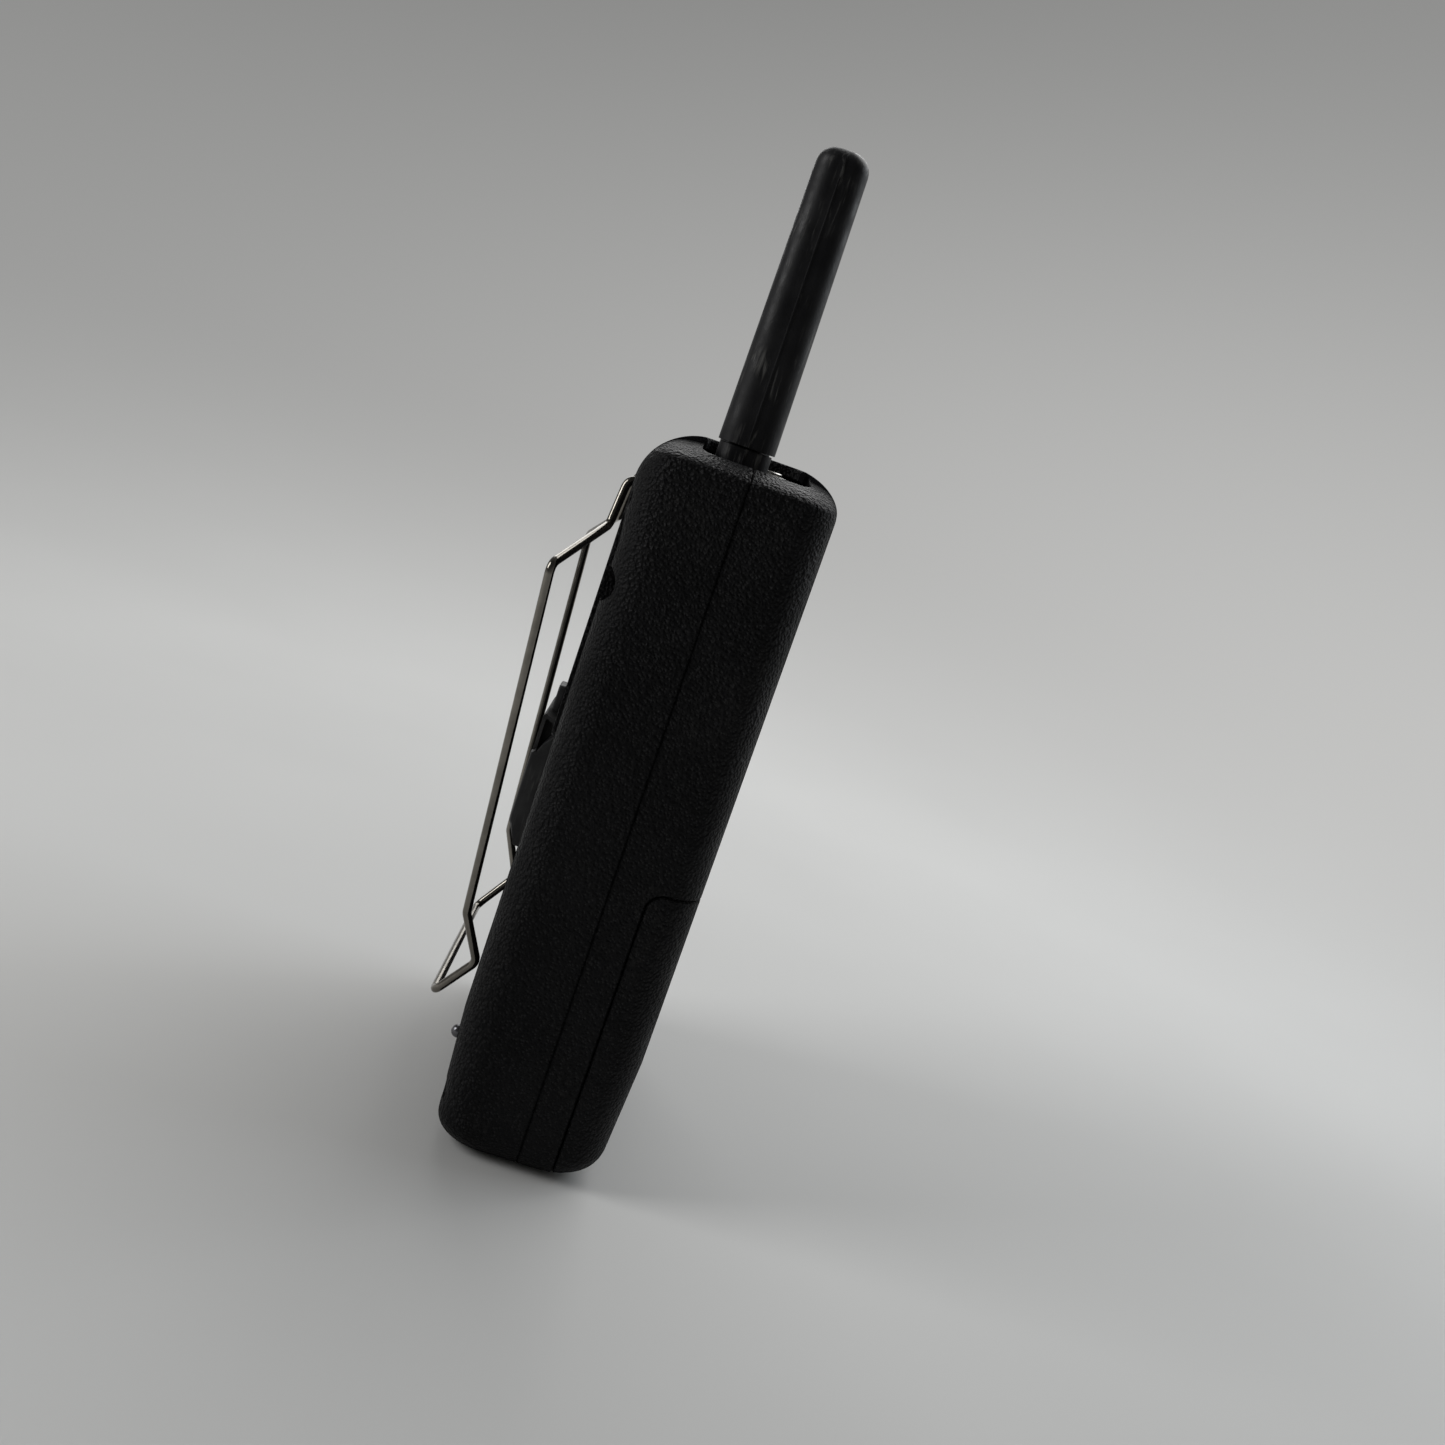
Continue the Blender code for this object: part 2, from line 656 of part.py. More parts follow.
def make_port_cover():
    """A rubber cover hinged on its lower edge; its narrower head has finger pockets and a pull tab."""
    outline = [(PORT_INNER_Y, PORT_BASE_Z), (PORT_INNER_Y + 1.3, PORT_BASE_Z),
               (PORT_OUTER_Y - 0.5, PORT_BASE_Z + 3.8), (PORT_OUTER_Y, PORT_BASE_Z + 5.2),
               (PORT_OUTER_Y, PORT_TOP_Z - 0.3), (PORT_OUTER_Y - 0.4, PORT_TOP_Z),
               (PORT_INNER_Y, PORT_TOP_Z - 1.2)]
    cover = side_plate("port_cover", outline, PORT_HALF_WIDTH, RUBBER)
    join(cover,
         box("cover_plug", (-6.4, 15.6, PORT_JACK_Z[0] + 0.1), (6.4, 17.2, PORT_JACK_Z[1] - 0.1),
             radius=0.8, axis=1),
         box("cover_tab", (-3.0, 18.3, PORT_TOP_Z - 4), (3.0, 19.7, PORT_TAB_Z), radius=0.5,
             axis=1))
    shoulder = [(PORT_INNER_Y - 1.5, PORT_TOP_Z - 0.9), (PORT_INNER_Y - 1.5, PORT_TOP_Z + 2),
                (PORT_OUTER_Y + 2, PORT_TOP_Z + 2), (PORT_OUTER_Y + 2, PORT_TOP_Z - 7.2),
                (PORT_OUTER_Y - 0.5, PORT_TOP_Z - 6.8)]
    pocket = [(PORT_INNER_Y + 0.7, PORT_TOP_Z - 2.6), (PORT_OUTER_Y - 0.8, PORT_TOP_Z - 7.0),
              (PORT_OUTER_Y - 0.8, PORT_TOP_Z - 1.0), (PORT_INNER_Y + 0.7, PORT_TOP_Z - 1.9)]
    for side, sign in sides():
        cut(cover,
            shifted(side_plate(f"cover_shoulder_{side}", shoulder, 2.0, None),
                    sign * (PORT_HEAD_HALF + 2.0)),
            shifted(side_plate(f"cover_pocket_{side}", pocket, 2.5, None), sign * PORT_HEAD_HALF))
    return cover


def shifted(item, x):
    item.location.x += mm(x)
    return item


def make_charge_contacts():
    for side, sign in sides():
        dome = [(1.25 * math.sin(angle), 16.7 + 1.25 * math.cos(angle))
                for angle in (math.radians(turn) for turn in (0, 22, 45, 68, 90))]
        turned(f"charge_contact_{side}",
               dome + [(1.25, 16.1), (0.9, 16.1), (0.9, 11.2), (0, 11.2)],
               (sign * CONTACT_X, 0, CONTACT_Z), DARK_STEEL, axis="back", steps=20)


# ================================================================ belt clip
def make_belt_clip():
    """One bent spring wire; its two ends meet under the bracket."""
    bar_y, bar_z = CLIP_AXIS
    half = [(1.0, bar_y, bar_z), (CLIP_BAR_HALF, bar_y, bar_z), (CLIP_BAR_HALF, CLIP_HOOK_Y, bar_z),
            CLIP_SHOULDER, CLIP_KINK, CLIP_LOWER_BEND, CLIP_BELLY, CLIP_TIP]
    loop = half + [(-x, y, z) for x, y, z in reversed(half)]
    path = rounded_path(loop, 2.2)
    wire("belt_clip", path, WIRE_RADIUS, SPRING_STEEL, origin=(0.0, bar_y, bar_z))


def make_clip_bracket():
    bracket = box("clip_bracket", (-BRACKET_HALF_WIDTH, BRACKET_Y[0], BRACKET_SPAN[0]),
                  (BRACKET_HALF_WIDTH, BRACKET_Y[1], BRACKET_SPAN[1]), CASE_PLASTIC,
                  radius=1.2, axis=1)
    for side, sign in sides():
        x = sign * CLIP_SCREW_X
        cut(bracket, stepped_bore(f"bracket_bore_{side}", (2.1, 1.3), 16.3, 10.0,
                                  (x, 0, CLIP_SCREW_Z)))
        turned(f"clip_screw_{side}",
               [(0, 17.4), (1.75, 17.2), (1.75, 16.6), (0.95, 16.6), (0.95, 11.5), (0, 11.5)],
               (x, 0, CLIP_SCREW_Z), DARK_STEEL, axis="back", steps=14)


# ================================================================ antenna
def make_antenna():
    """Rubber sheath, collar, core and wound element."""
    taper_start = ANTENNA_BASE + 1.2
    dome = 3.2
    rings = []
    for height in (ANTENNA_BASE, taper_start, (taper_start + ANTENNA_TOP) / 2,
                   ANTENNA_TOP - dome, ANTENNA_TOP - 1.8, ANTENNA_TOP - 0.8, ANTENNA_TOP - 0.2,
                   ANTENNA_TOP):
        part = max(height - taper_start, 0) / (ANTENNA_TOP - taper_start)
        draw = round_in(ANTENNA_TOP - height, dome)
        half_x = ANTENNA_FOOT[0] + (ANTENNA_CROWN[0] - ANTENNA_FOOT[0]) * part - draw
        half_y = ANTENNA_FOOT[1] + (ANTENNA_CROWN[1] - ANTENNA_FOOT[1]) * part - draw
        rings.append(rounded_ring(ANTENNA_X - half_x, ANTENNA_X + half_x, ANTENNA_Y - half_y,
                                  ANTENNA_Y + half_y, min(half_x, half_y) * 0.72, height))
    sheath = loft("antenna_sheath", rings, RUBBER)
    cut(sheath, rod("sheath_bore", 3.4, 120, ANTENNA_TOP - 4, (ANTENNA_X, ANTENNA_Y, 0)))

    collar = box("antenna_collar", (ANTENNA_X - 5.1, ANTENNA_Y - 4.7, WELL_FLOOR + GAP),
                 (ANTENNA_X + 5.1, ANTENNA_Y + 4.7, ANTENNA_BASE - GAP), RUBBER,
                 radius=3.0, segments=5)
    cut(collar, rod("collar_bore", 2.0, 110, 140, (ANTENNA_X, ANTENNA_Y, 0)))

    rod("antenna_core", 1.6, 118.0, ANTENNA_TOP - 6, (ANTENNA_X, ANTENNA_Y, 0), BRASS, steps=16)
    turned("antenna_nut", [(4.0, 124.3), (4.0, 120.5), (2.0, 120.5), (2.0, 124.3)],
           (ANTENNA_X, ANTENNA_Y, 0), BRASS, closed=True, steps=6)
    make_antenna_coil()


def make_antenna_coil():
    turns = 6
    per_turn = 8
    low = ANTENNA_BASE + 4
    high = ANTENNA_TOP - 8
    count = turns * per_turn
    path = []
    for step in range(count + 1):
        angle = 2 * math.pi * step / per_turn
        path.append((ANTENNA_X + 2.5 * math.cos(angle), ANTENNA_Y + 2.5 * math.sin(angle),
                     low + (high - low) * step / count))
    wire("antenna_coil", path, 0.4, BRASS)


# ================================================================ top controls
def make_volume_control():
    shaft_top = KNOB_TOP - 2.0
    knob = turned("volume_knob",
                  [(0, KNOB_TOP), (KNOB_RADIUS - 1.0, KNOB_TOP), (KNOB_RADIUS - 0.3, KNOB_TOP - 0.5),
                   (KNOB_RADIUS, KNOB_TOP - 1.4), (KNOB_RADIUS, KNOB_BASE), (0, KNOB_BASE)],
                  (KNOB_X, KNOB_Y, 0), RUBBER, steps=24)
    cut(knob, rod("knob_bore", 1.8, 120, shaft_top + GAP, (KNOB_X, KNOB_Y, 0), steps=16),
        box("knob_mark", (KNOB_X - 0.4, KNOB_Y + 1.5, KNOB_TOP - 0.5),
            (KNOB_X + 0.4, KNOB_Y + 8, KNOB_TOP + 2)))
    rod("volume_shaft", 1.5, 119.5, shaft_top, (KNOB_X, KNOB_Y, 0), DARK_STEEL, steps=16)
    pot = box("volume_pot", (KNOB_X - 5, KNOB_Y - 5, 118), (KNOB_X + 5, KNOB_Y + 5, 127.5),
              DARK_STEEL, radius=1.0)
    cut(pot, rod("pot_bore", 1.8, 119.2, 140, (KNOB_X, KNOB_Y, 0), steps=16))


def make_headset_jack():
    turned("headset_jack",
           [(0, 115.0), (1.8, 115.0), (1.8, 130.1), (2.5, 130.1), (2.5, 124.3), (3.6, 124.3),
            (3.6, 113.0), (0, 113.0)],
           (JACK_X, JACK_Y, 0), DARK_STEEL, steps=16)
    turned("jack_nut", [(3.7, 129.5), (3.7, 126.4), (2.8, 126.4), (2.8, 129.5)],
           (JACK_X, JACK_Y, 0), SPRING_STEEL, closed=True, steps=20)


# ================================================================ front panel
def key_places():
    for index, name in enumerate(KEY_NAMES):
        yield f"{name}_key", (index - (len(KEY_NAMES) - 1) / 2) * KEY_PITCH


def make_keys():
    half_x, half_z = KEY_SIZE[0] / 2, KEY_SIZE[1] / 2
    for name, x in key_places():
        key = box(name, (x - half_x, FRONT_Y - KEY_PROUD, KEY_Z - half_z),
                  (x + half_x, -13.6, KEY_Z + half_z), RUBBER, radius=1.2, axis=1)
        join(key, box(f"{name}_flange", (x - half_x - 1, -14.2, KEY_Z - half_z - 1),
                      (x + half_x + 1, -13.2, KEY_Z + half_z + 1), radius=1.0, axis=1))
    box("keypad_membrane", (-32, -12.1, KEY_Z - 4.3), (32, -11.3, KEY_Z + 4.3), RUBBER)


def make_display():
    box("display_window", (-DISPLAY_HALF_WIDTH, -16.4, DISPLAY_SPAN[0]),
        (DISPLAY_HALF_WIDTH, -15.3, DISPLAY_SPAN[1]), CLEAR_WINDOW, radius=1.7, axis=1)
    box("display_module", (-25, -14.2, 97.8), (25, -11.0, 123.0), INNER_PLASTIC)
    turned("status_lens",
           [(0, 16.8), (1.0, 16.8), (1.5, 16.4), (1.5, 14.2), (2.5, 14.2), (2.5, 13.2), (0, 13.2)],
           (LED_X, 0, LED_Z), CLEAR_WINDOW, axis="front", steps=16)


def make_speaker():
    place = (0, 0, SPEAKER_Z)
    rim = SPEAKER_RADIUS
    rod("speaker_cloth", rim, 13.8, 14.2, place, CONE_PAPER, axis="front")
    turned("speaker_frame",
           [(rim - 1.2, 13.5), (rim, 13.5), (rim, 12.3), (8.5, 9.0), (3.6, 9.0), (3.6, 9.8),
            (8.2, 9.8), (rim - 1.2, 12.6)],
           place, DARK_STEEL, axis="front", closed=True, steps=20)
    turned("speaker_cone",
           [(0, 11.6), (3.2, 10.6), (rim - 1.7, 13.3), (rim - 1.9, 12.9), (3.2, 10.1), (0, 11.1)],
           place, CONE_PAPER, axis="front", steps=20)
    rod("speaker_magnet", 7.5, 4.4, 8.7, place, DARK_STEEL, axis="front")
    rod("microphone", 3.0, 10.9, 13.9, (MIC_X, 0, MIC_Z), DARK_STEEL, axis="front", steps=20)


# ================================================================ side button
def make_ptt():
    button = box("ptt_button", (36.0, PTT_Y[0], PTT_Z[0]), (PTT_OUTER_X, PTT_Y[1], PTT_Z[1]),
                 RUBBER, radius=1.5, axis=0)
    join(button, box("ptt_flange", (35.4, PTT_Y[0] - 0.7, PTT_Z[0] - 1),
                     (36.5, PTT_Y[1] + 0.7, PTT_Z[1] + 1), radius=1.0, axis=0))
    box("ptt_switch", (28.5, -9.0, 94), (33.6, 1.7, 100), INNER_PLASTIC, radius=0.5, axis=0)


make_rear_shell()
make_front_shell()
make_battery_door()
make_control_well()
make_case_screws()
make_battery_tray()
make_cells()
make_cell_contacts()
make_boards()
make_accessory_jack()
make_port_cover()
make_charge_contacts()
make_belt_clip()
make_clip_bracket()
make_antenna()
make_volume_control()
make_headset_jack()
make_keys()
make_display()
make_speaker()
make_ptt()
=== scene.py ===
"""Looks of the portable two-way radio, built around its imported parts.

Frame: +Z runs up the radio, -Y is the front (display, keys, battery door), +Y the back (belt clip).
Shapes are worked out in millimetres and turned into metres where a mesh is made.
"""

import math

import bmesh
import bpy
from mathutils import Matrix, Vector


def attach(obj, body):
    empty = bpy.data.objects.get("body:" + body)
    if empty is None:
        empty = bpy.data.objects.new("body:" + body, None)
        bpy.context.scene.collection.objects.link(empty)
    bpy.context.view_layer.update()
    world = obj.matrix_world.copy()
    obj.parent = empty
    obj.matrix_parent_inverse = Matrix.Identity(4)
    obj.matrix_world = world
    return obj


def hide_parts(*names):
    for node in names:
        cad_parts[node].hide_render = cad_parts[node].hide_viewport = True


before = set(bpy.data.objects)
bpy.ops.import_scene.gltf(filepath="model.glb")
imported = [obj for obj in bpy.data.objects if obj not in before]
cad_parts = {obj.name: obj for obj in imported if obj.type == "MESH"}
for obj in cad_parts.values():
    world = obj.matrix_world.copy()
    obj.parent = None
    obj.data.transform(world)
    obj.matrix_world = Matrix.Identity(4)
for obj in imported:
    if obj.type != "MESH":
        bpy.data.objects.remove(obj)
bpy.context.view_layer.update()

MM = 0.001

# ---- case form, as the CAD shells have it
BODY_HALF_WIDTH = 39.0
BODY_HEIGHT = 132.0
FRONT_Y = -16.5
BACK_Y = 16.5
WALL = 2.0
GAP = 0.3
SEAM_Y = -0.9
CORNER_RADIUS = 6.2
FOOT_RADIUS = (5.5, 7.5, 6.0)
TOP_RADIUS = (10.0, 6.5)
TOP_CROWN = 5.0
TAPER_TOP = 25.0
TAPER = 0.06
BACK_SWELL = (112.0, 119.0, 0.8)
DOOR_TOP = 57.2
DOOR_BACK_Y = -7.5
DOOR_CORNER = 3.0
EDGE = 0.35
SHUT_LINE = 0.08
LAP = (0.85, 1.0, 1.9)

# ---- what is cut into or fixed on it
SCREW_X = 33.5
SCREW_HEIGHTS = (9.0, 119.0)
SCREW_SEAT_Y = 11.2
CLIP_SCREW = (6.5, 115.4)
WELL_X = (-32.0, 4.0)
WELL_Y = (-10.3, 7.6)
WELL_Z = (124.7, 129.1)
WELL_FLOOR = 126.1
ANTENNA = (-20.0, 1.2)
JACK = (-6.0, -4.5)
KNOB = (22.0, 0.5)
KNOB_HOLE = 2.1
BRACKET_HALF_WIDTH = 10.7
BRACKET_SPAN = (111.7, 123.0)
CLIP_AXIS = (14.2, 120.8)
CLIP_BAR_HALF = 13.0
PANEL_HALF_WIDTH = 31.0
PANEL_SPAN = (75.2, 120.5)
PANEL_Y = 17.3
LANYARD = (-34.3, 104.1)
LANYARD_RADIUS = 3.0
LANYARD_FLOOR_Y = 10.2
MOULD_RIDGE = 0.14
PORT_Y = (16.8, 20.5)
PORT_Z = (48.9, 74.4)
PORT_TAB_Z = 79.1
PORT_HALF_WIDTH = 12.0
PORT_HEAD_HALF = 9.5
PORT_JACK_Z = (62.4, 71.4)
CONTACT = (22.0, 14.8)
DISPLAY_HALF_WIDTH = 24.7
DISPLAY_SPAN = (98.8, 122.2)
KEY_NAMES = ("power", "menu", "up", "down", "call")
KEY_PITCH = 12.0
KEY_Z = 91.5
KEY_HALF = (4.5, 3.0)
SPEAKER_Z = 73.8
SPEAKER_RADIUS = 13.0
SLOT_PITCH = 2.6
MIC = (25.0, 66.0)
LED = (31.0, 104.0)
PTT_CENTRE = (-6.05, 97.0)
PTT_HALF = (3.55, 10.7)
CELL_SPAN = (6.4, 56.4)
CELL_PITCH = 14.9
CELL_Y = -5.4
SIDES = (("left", -1), ("right", 1))


# ---- mesh helpers
AXES = {
    "front": ((1, 0, 0), (0, 0, 1), (0, -1, 0)),
    "back": ((-1, 0, 0), (0, 0, 1), (0, 1, 0)),
    "right": ((0, 1, 0), (0, 0, 1), (1, 0, 0)),
    "left": ((0, -1, 0), (0, 0, 1), (-1, 0, 0)),
    "top": ((1, 0, 0), (0, 1, 0), (0, 0, 1)),
}


def facing(axis, u, v, w):
    """The point u across, v up and w out along an axis of the radio."""
    across, up, out = (Vector(direction) for direction in AXES[axis])
    return across * u + up * v + out * w


def add_object(name, data):
    item = bpy.data.objects.new(name, data)
    bpy.context.scene.collection.objects.link(item)
    return item


def remove(item):
    mesh = item.data
    bpy.data.objects.remove(item, do_unlink=True)
    bpy.data.meshes.remove(mesh)


def mesh_object(name, shape):
    """Turn a bmesh in millimetres into an object in metres."""
    bmesh.ops.recalc_face_normals(shape, faces=shape.faces)
    bmesh.ops.scale(shape, vec=(MM, MM, MM), verts=shape.verts)
    mesh = bpy.data.meshes.new(name)
    shape.to_mesh(mesh)
    shape.free()
    return add_object(name, mesh)


def skin(name, rings, around=False):
    """A closed surface through rings with the same number of points; around joins the last to the first."""
    shape = bmesh.new()
    levels = [[shape.verts.new(point) for point in ring] for ring in rings]
    count = len(levels[0])
    pairs = list(zip(levels, levels[1:]))
    if around:
        pairs.append((levels[-1], levels[0]))
    for lower, upper in pairs:
        for index in range(count):
            after = (index + 1) % count
            shape.faces.new((lower[index], lower[after], upper[after], upper[index]))
    if not around:
        shape.faces.new(list(reversed(levels[0])))
        shape.faces.new(levels[-1])
    return mesh_object(name, shape)


def arc_ring(half_u, half_v, radius, steps=8, sides=1):
    """Rounded rectangle round the origin; each straight side has the given number of parts."""
    points = []
    for corner, (sign_u, sign_v) in enumerate(((1, 1), (-1, 1), (-1, -1), (1, -1))):
        centre = Vector((sign_u * (half_u - radius), sign_v * (half_v - radius)))
        for step in range(steps + 1):
            angle = math.radians(90 * corner + 90 * step / steps)
            points.append(centre + radius * Vector((math.cos(angle), math.sin(angle))))
    if sides == 1:
        return points
    dense = []
    for index, point in enumerate(points):
        dense.append(point)
        if (index + 1) % (steps + 1) == 0:
            target = points[(index + 1) % len(points)]
            dense += [point.lerp(target, part / sides) for part in range(1, sides)]
    return dense


def flip(axis, centre):
    """A centre given as (world across, world up) in an axis's own directions."""
    sign = -1 if axis in ("back", "left") else 1
    return Vector((sign * centre[0], centre[1]))


def drawn(name, axis, centre, half, corner, profile, steps=8):
    """A rounded rectangle drawn along an axis; the profile lists (distance out, inset)."""
    rings = []
    middle = flip(axis, centre)
    for out, inset in profile:
        radius = max(min(corner - inset, half[0] - inset, half[1] - inset) - 0.001, 0.02)
        rings.append([facing(axis, *(point + middle), out)
                      for point in arc_ring(half[0] - inset, half[1] - inset, radius, steps)])
    return skin(name, rings)


def turned(name, axis, centre, profile, steps=40, wave=None):
    """A solid of revolution; the profile lists (radius, distance out), and wave changes the radius."""
    rings = []
    middle = flip(axis, centre)
    for radius, out in profile:
        ring = []
        for step in range(steps):
            angle = 2 * math.pi * step / steps
            reach = max(radius, 0.01)
            if wave is not None:
                reach = wave(reach, angle, out)
            point = middle + reach * Vector((math.cos(angle), math.sin(angle)))
            ring.append(facing(axis, *point, out))
        rings.append(ring)
    return skin(name, rings)


def rod(name, axis, centre, radius, low, high, steps=32):
    return turned(name, axis, centre, [(radius, low), (radius, high)], steps)


def span(limits):
    """Middle and half length of a pair of limits."""
    return (limits[0] + limits[1]) / 2, (limits[1] - limits[0]) / 2


def arc(width, rise, turns):
    """Points on a quarter of an ellipse round the origin, at turns given in degrees."""
    return [(width * math.cos(math.radians(turn)), rise * math.sin(math.radians(turn))) for turn in turns]


def opening(name, axis, centre, half, corner, surface, deep, flare=EDGE):
    """A cutter for a hole with a broken edge at the surface it comes out of."""
    return drawn(name, axis, centre, half, corner,
                 [(deep, 0), (surface - flare, 0), (surface, -flare), (surface + 3, -flare - 3)])


def bore(name, axis, centre, radius, surface, deep, flare=EDGE):
    """A cutter for a round hole with a broken edge at the surface."""
    return turned(name, axis, centre, [(radius, deep), (radius, surface - flare),
                                       (radius + flare, surface), (radius + flare + 3, surface + 3)], 32)


def block(name, low, high):
    shape = bmesh.new()
    low, high = Vector(low), Vector(high)
    size = high - low
    bmesh.ops.create_cube(shape, size=1.0,
                          matrix=Matrix.Translation((low + high) / 2) @ Matrix.Diagonal((*size, 1)))
    return mesh_object(name, shape)


def slab(name, low, high):
    """All of the space between two depths, wider and higher than the case."""
    return block(name, (-60, low, -20), (60, high, 160))


def apply_modifiers(item):
    graph = bpy.context.evaluated_depsgraph_get()
    mesh = bpy.data.meshes.new_from_object(item.evaluated_get(graph))
    old = item.data
    item.modifiers.clear()
    item.data = mesh
    bpy.data.meshes.remove(old)
    return item


def merged(tools):
    """Several objects as one; they don't touch one another."""
    shape = bmesh.new()
    for tool in tools:
        shape.from_mesh(tool.data)
    first, *others = tools
    shape.to_mesh(first.data)
    shape.free()
    for tool in others:
        remove(tool)
    return first


def combine(target, tools, operation):
    tool = merged(tools)
    modifier = target.modifiers.new("shape", "BOOLEAN")
    modifier.operation = operation
    modifier.solver = "EXACT"
    modifier.object = tool
    apply_modifiers(target)
    remove(tool)
    return target


def carve(target, *tools):
    return combine(target, list(tools), "DIFFERENCE")


def add(target, *tools):
    return combine(target, list(tools), "UNION")


def keep(target, *tools):
    return combine(target, list(tools), "INTERSECT")


def dress(item, material, body, replaces=(), sharp=35):
    """Shade a piece, give it its material, and fix it to its body."""
    item.data.materials.clear()
    item.data.materials.append(material)
    item.data.shade_smooth()
    item.data.set_sharp_from_angle(angle=math.radians(sharp))
    normals = item.modifiers.new("normals", "WEIGHTED_NORMAL")
    normals.keep_sharp = True
    normals.weight = 80
    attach(item, body)
    if replaces:
        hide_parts(*replaces)
    return item


# ---- materials
class Surface:
    """A material on its Principled shader, with short calls for the nodes used here."""

    def __init__(self, name, colour, roughness, metallic=0.0, **sockets):
        self.material = bpy.data.materials.new(name)
        self.material.use_nodes = True
        self.tree = self.material.node_tree
        self.shader = self.tree.nodes["Principled BSDF"]
        self.shader.inputs["Base Color"].default_value = (*colour, 1)
        self.shader.inputs["Roughness"].default_value = roughness
        self.shader.inputs["Metallic"].default_value = metallic
        for socket, value in sockets.items():
            self.shader.inputs[socket.replace("_", " ")].default_value = value
        self.coordinates = self.tree.nodes.new("ShaderNodeTexCoord").outputs["Object"]
        self.normal = None

    def node(self, kind, inputs, output=0, **settings):
        item = self.tree.nodes.new(kind)
        for key, value in settings.items():
            setattr(item, key, value)
        for socket, value in inputs.items():
            if isinstance(value, bpy.types.NodeSocket):
                self.tree.links.new(value, item.inputs[socket])
            else:
                item.inputs[socket].default_value = value
        return item.outputs[output]

    def stretched(self, scale, turn=(0, 0, 0)):
        return self.node("ShaderNodeMapping", {"Vector": self.coordinates, "Scale": scale,
                                               "Rotation": turn})

    def noise(self, size, detail=3.0, vector=None, distortion=0.0):
        """Noise whose features are about size millimetres."""
        return self.node("ShaderNodeTexNoise", {
            "Vector": vector or self.coordinates, "Scale": 1 / (size * MM), "Detail": detail,
            "Roughness": 0.55, "Distortion": distortion})

    def cells(self, size):
        """Distance from the middles of cells that are about size millimetres wide."""
        return self.node("ShaderNodeTexVoronoi", {"Vector": self.coordinates, "Scale": 1 / (size * MM)})

    def spread(self, value, start, end, low=0.0, high=1.0, smooth=True):
        """Maps start..end to low..high and holds it there outside."""
        return self.node("ShaderNodeMapRange", {
            "Value": value, "From Min": start, "From Max": end, "To Min": low, "To Max": high},
            interpolation_type="SMOOTHSTEP" if smooth else "LINEAR")

    def maths(self, operation, first, second):
        return self.node("ShaderNodeMath", {0: first, 1: second}, operation=operation)

    def blend(self, factor, first, second):
        """Mix of two colours."""
        as_colour = [value if isinstance(value, bpy.types.NodeSocket) else (*value, 1)
                     for value in (first, second)]
        return self.node("ShaderNodeMix", {0: factor, 6: as_colour[0], 7: as_colour[1]}, output=2,
                         data_type="RGBA")

    def colour(self, value):
        self.tree.links.new(value, self.shader.inputs["Base Color"])

    def roughness(self, value):
        self.tree.links.new(value, self.shader.inputs["Roughness"])

    def mottled(self, size, first, second, detail=4.0, start=0.35, end=0.7):
        """Two colours in patches of about size millimetres."""
        return self.blend(self.spread(self.noise(size, detail), start, end), first, second)

    def uneven(self, size, low, high, detail=3.0, end=0.7):
        """Roughness that drifts between two values over patches of about size millimetres."""
        self.roughness(self.spread(self.noise(size, detail), 0.3, end, low, high))

    def bump(self, height, depth):
        """Height from 0 to 1 becomes relief that is depth millimetres deep."""
        inputs = {"Height": height, "Distance": depth * MM, "Strength": 1.0}
        if self.normal is not None:
            inputs["Normal"] = self.normal
        self.normal = self.node("ShaderNodeBump", inputs)
        self.tree.links.new(self.normal, self.shader.inputs["Normal"])


def case_plastic_look():
    """Satin black moulding with a pebbled spark-eroded grain whose speckles carry painted glints, handled
    smooth and dusty in places.
    """
    look = Surface("case_plastic_look", (0.005, 0.005, 0.0055), 0.45, Specular_IOR_Level=0.08)
    pebble = look.cells(0.62)
    fine = look.noise(0.35, detail=2.0)
    grain = look.maths("ADD", pebble, look.maths("MULTIPLY", fine, 0.6))
    look.bump(grain, 0.32)
    look.bump(look.noise(7.0, detail=2.0), 0.015)
    base = look.mottled(14.0, (0.0030, 0.0030, 0.0034), (0.0055, 0.0055, 0.0060))
    # Painted highlight: lighter speckles in the grain's colour stand in for the glints its bumps catch from
    # the lamps.
    painted_glint_speckles = look.spread(grain, 0.70, 0.40)
    base = look.blend(painted_glint_speckles, base, (0.017, 0.017, 0.0175))
    dust = look.spread(look.maths("MULTIPLY", look.noise(1.1, detail=4.0), look.noise(18.0)),
                       0.30, 0.46)
    base = look.blend(look.maths("MULTIPLY", dust, 0.15), base, (0.060, 0.058, 0.055))
    look.colour(base)
    look.uneven(9.0, 0.40, 0.56, detail=5.0, end=0.75)
    glancing = look.node("ShaderNodeLayerWeight", {"Blend": 0.5}, output=1)
    sheen = look.spread(glancing, 0.66, 0.90, 0.10, 0.0)
    look.tree.links.new(sheen, look.shader.inputs["Specular IOR Level"])
    return look.material


def inner_plastic_look():
    look = Surface("inner_plastic_look", (0.02, 0.02, 0.022), 0.55)
    look.bump(look.noise(0.4, detail=2.0), 0.02)
    look.colour(look.mottled(8.0, (0.012, 0.012, 0.013), (0.022, 0.022, 0.024), 3.0, 0.3))
    look.uneven(3.0, 0.45, 0.65)
    return look.material


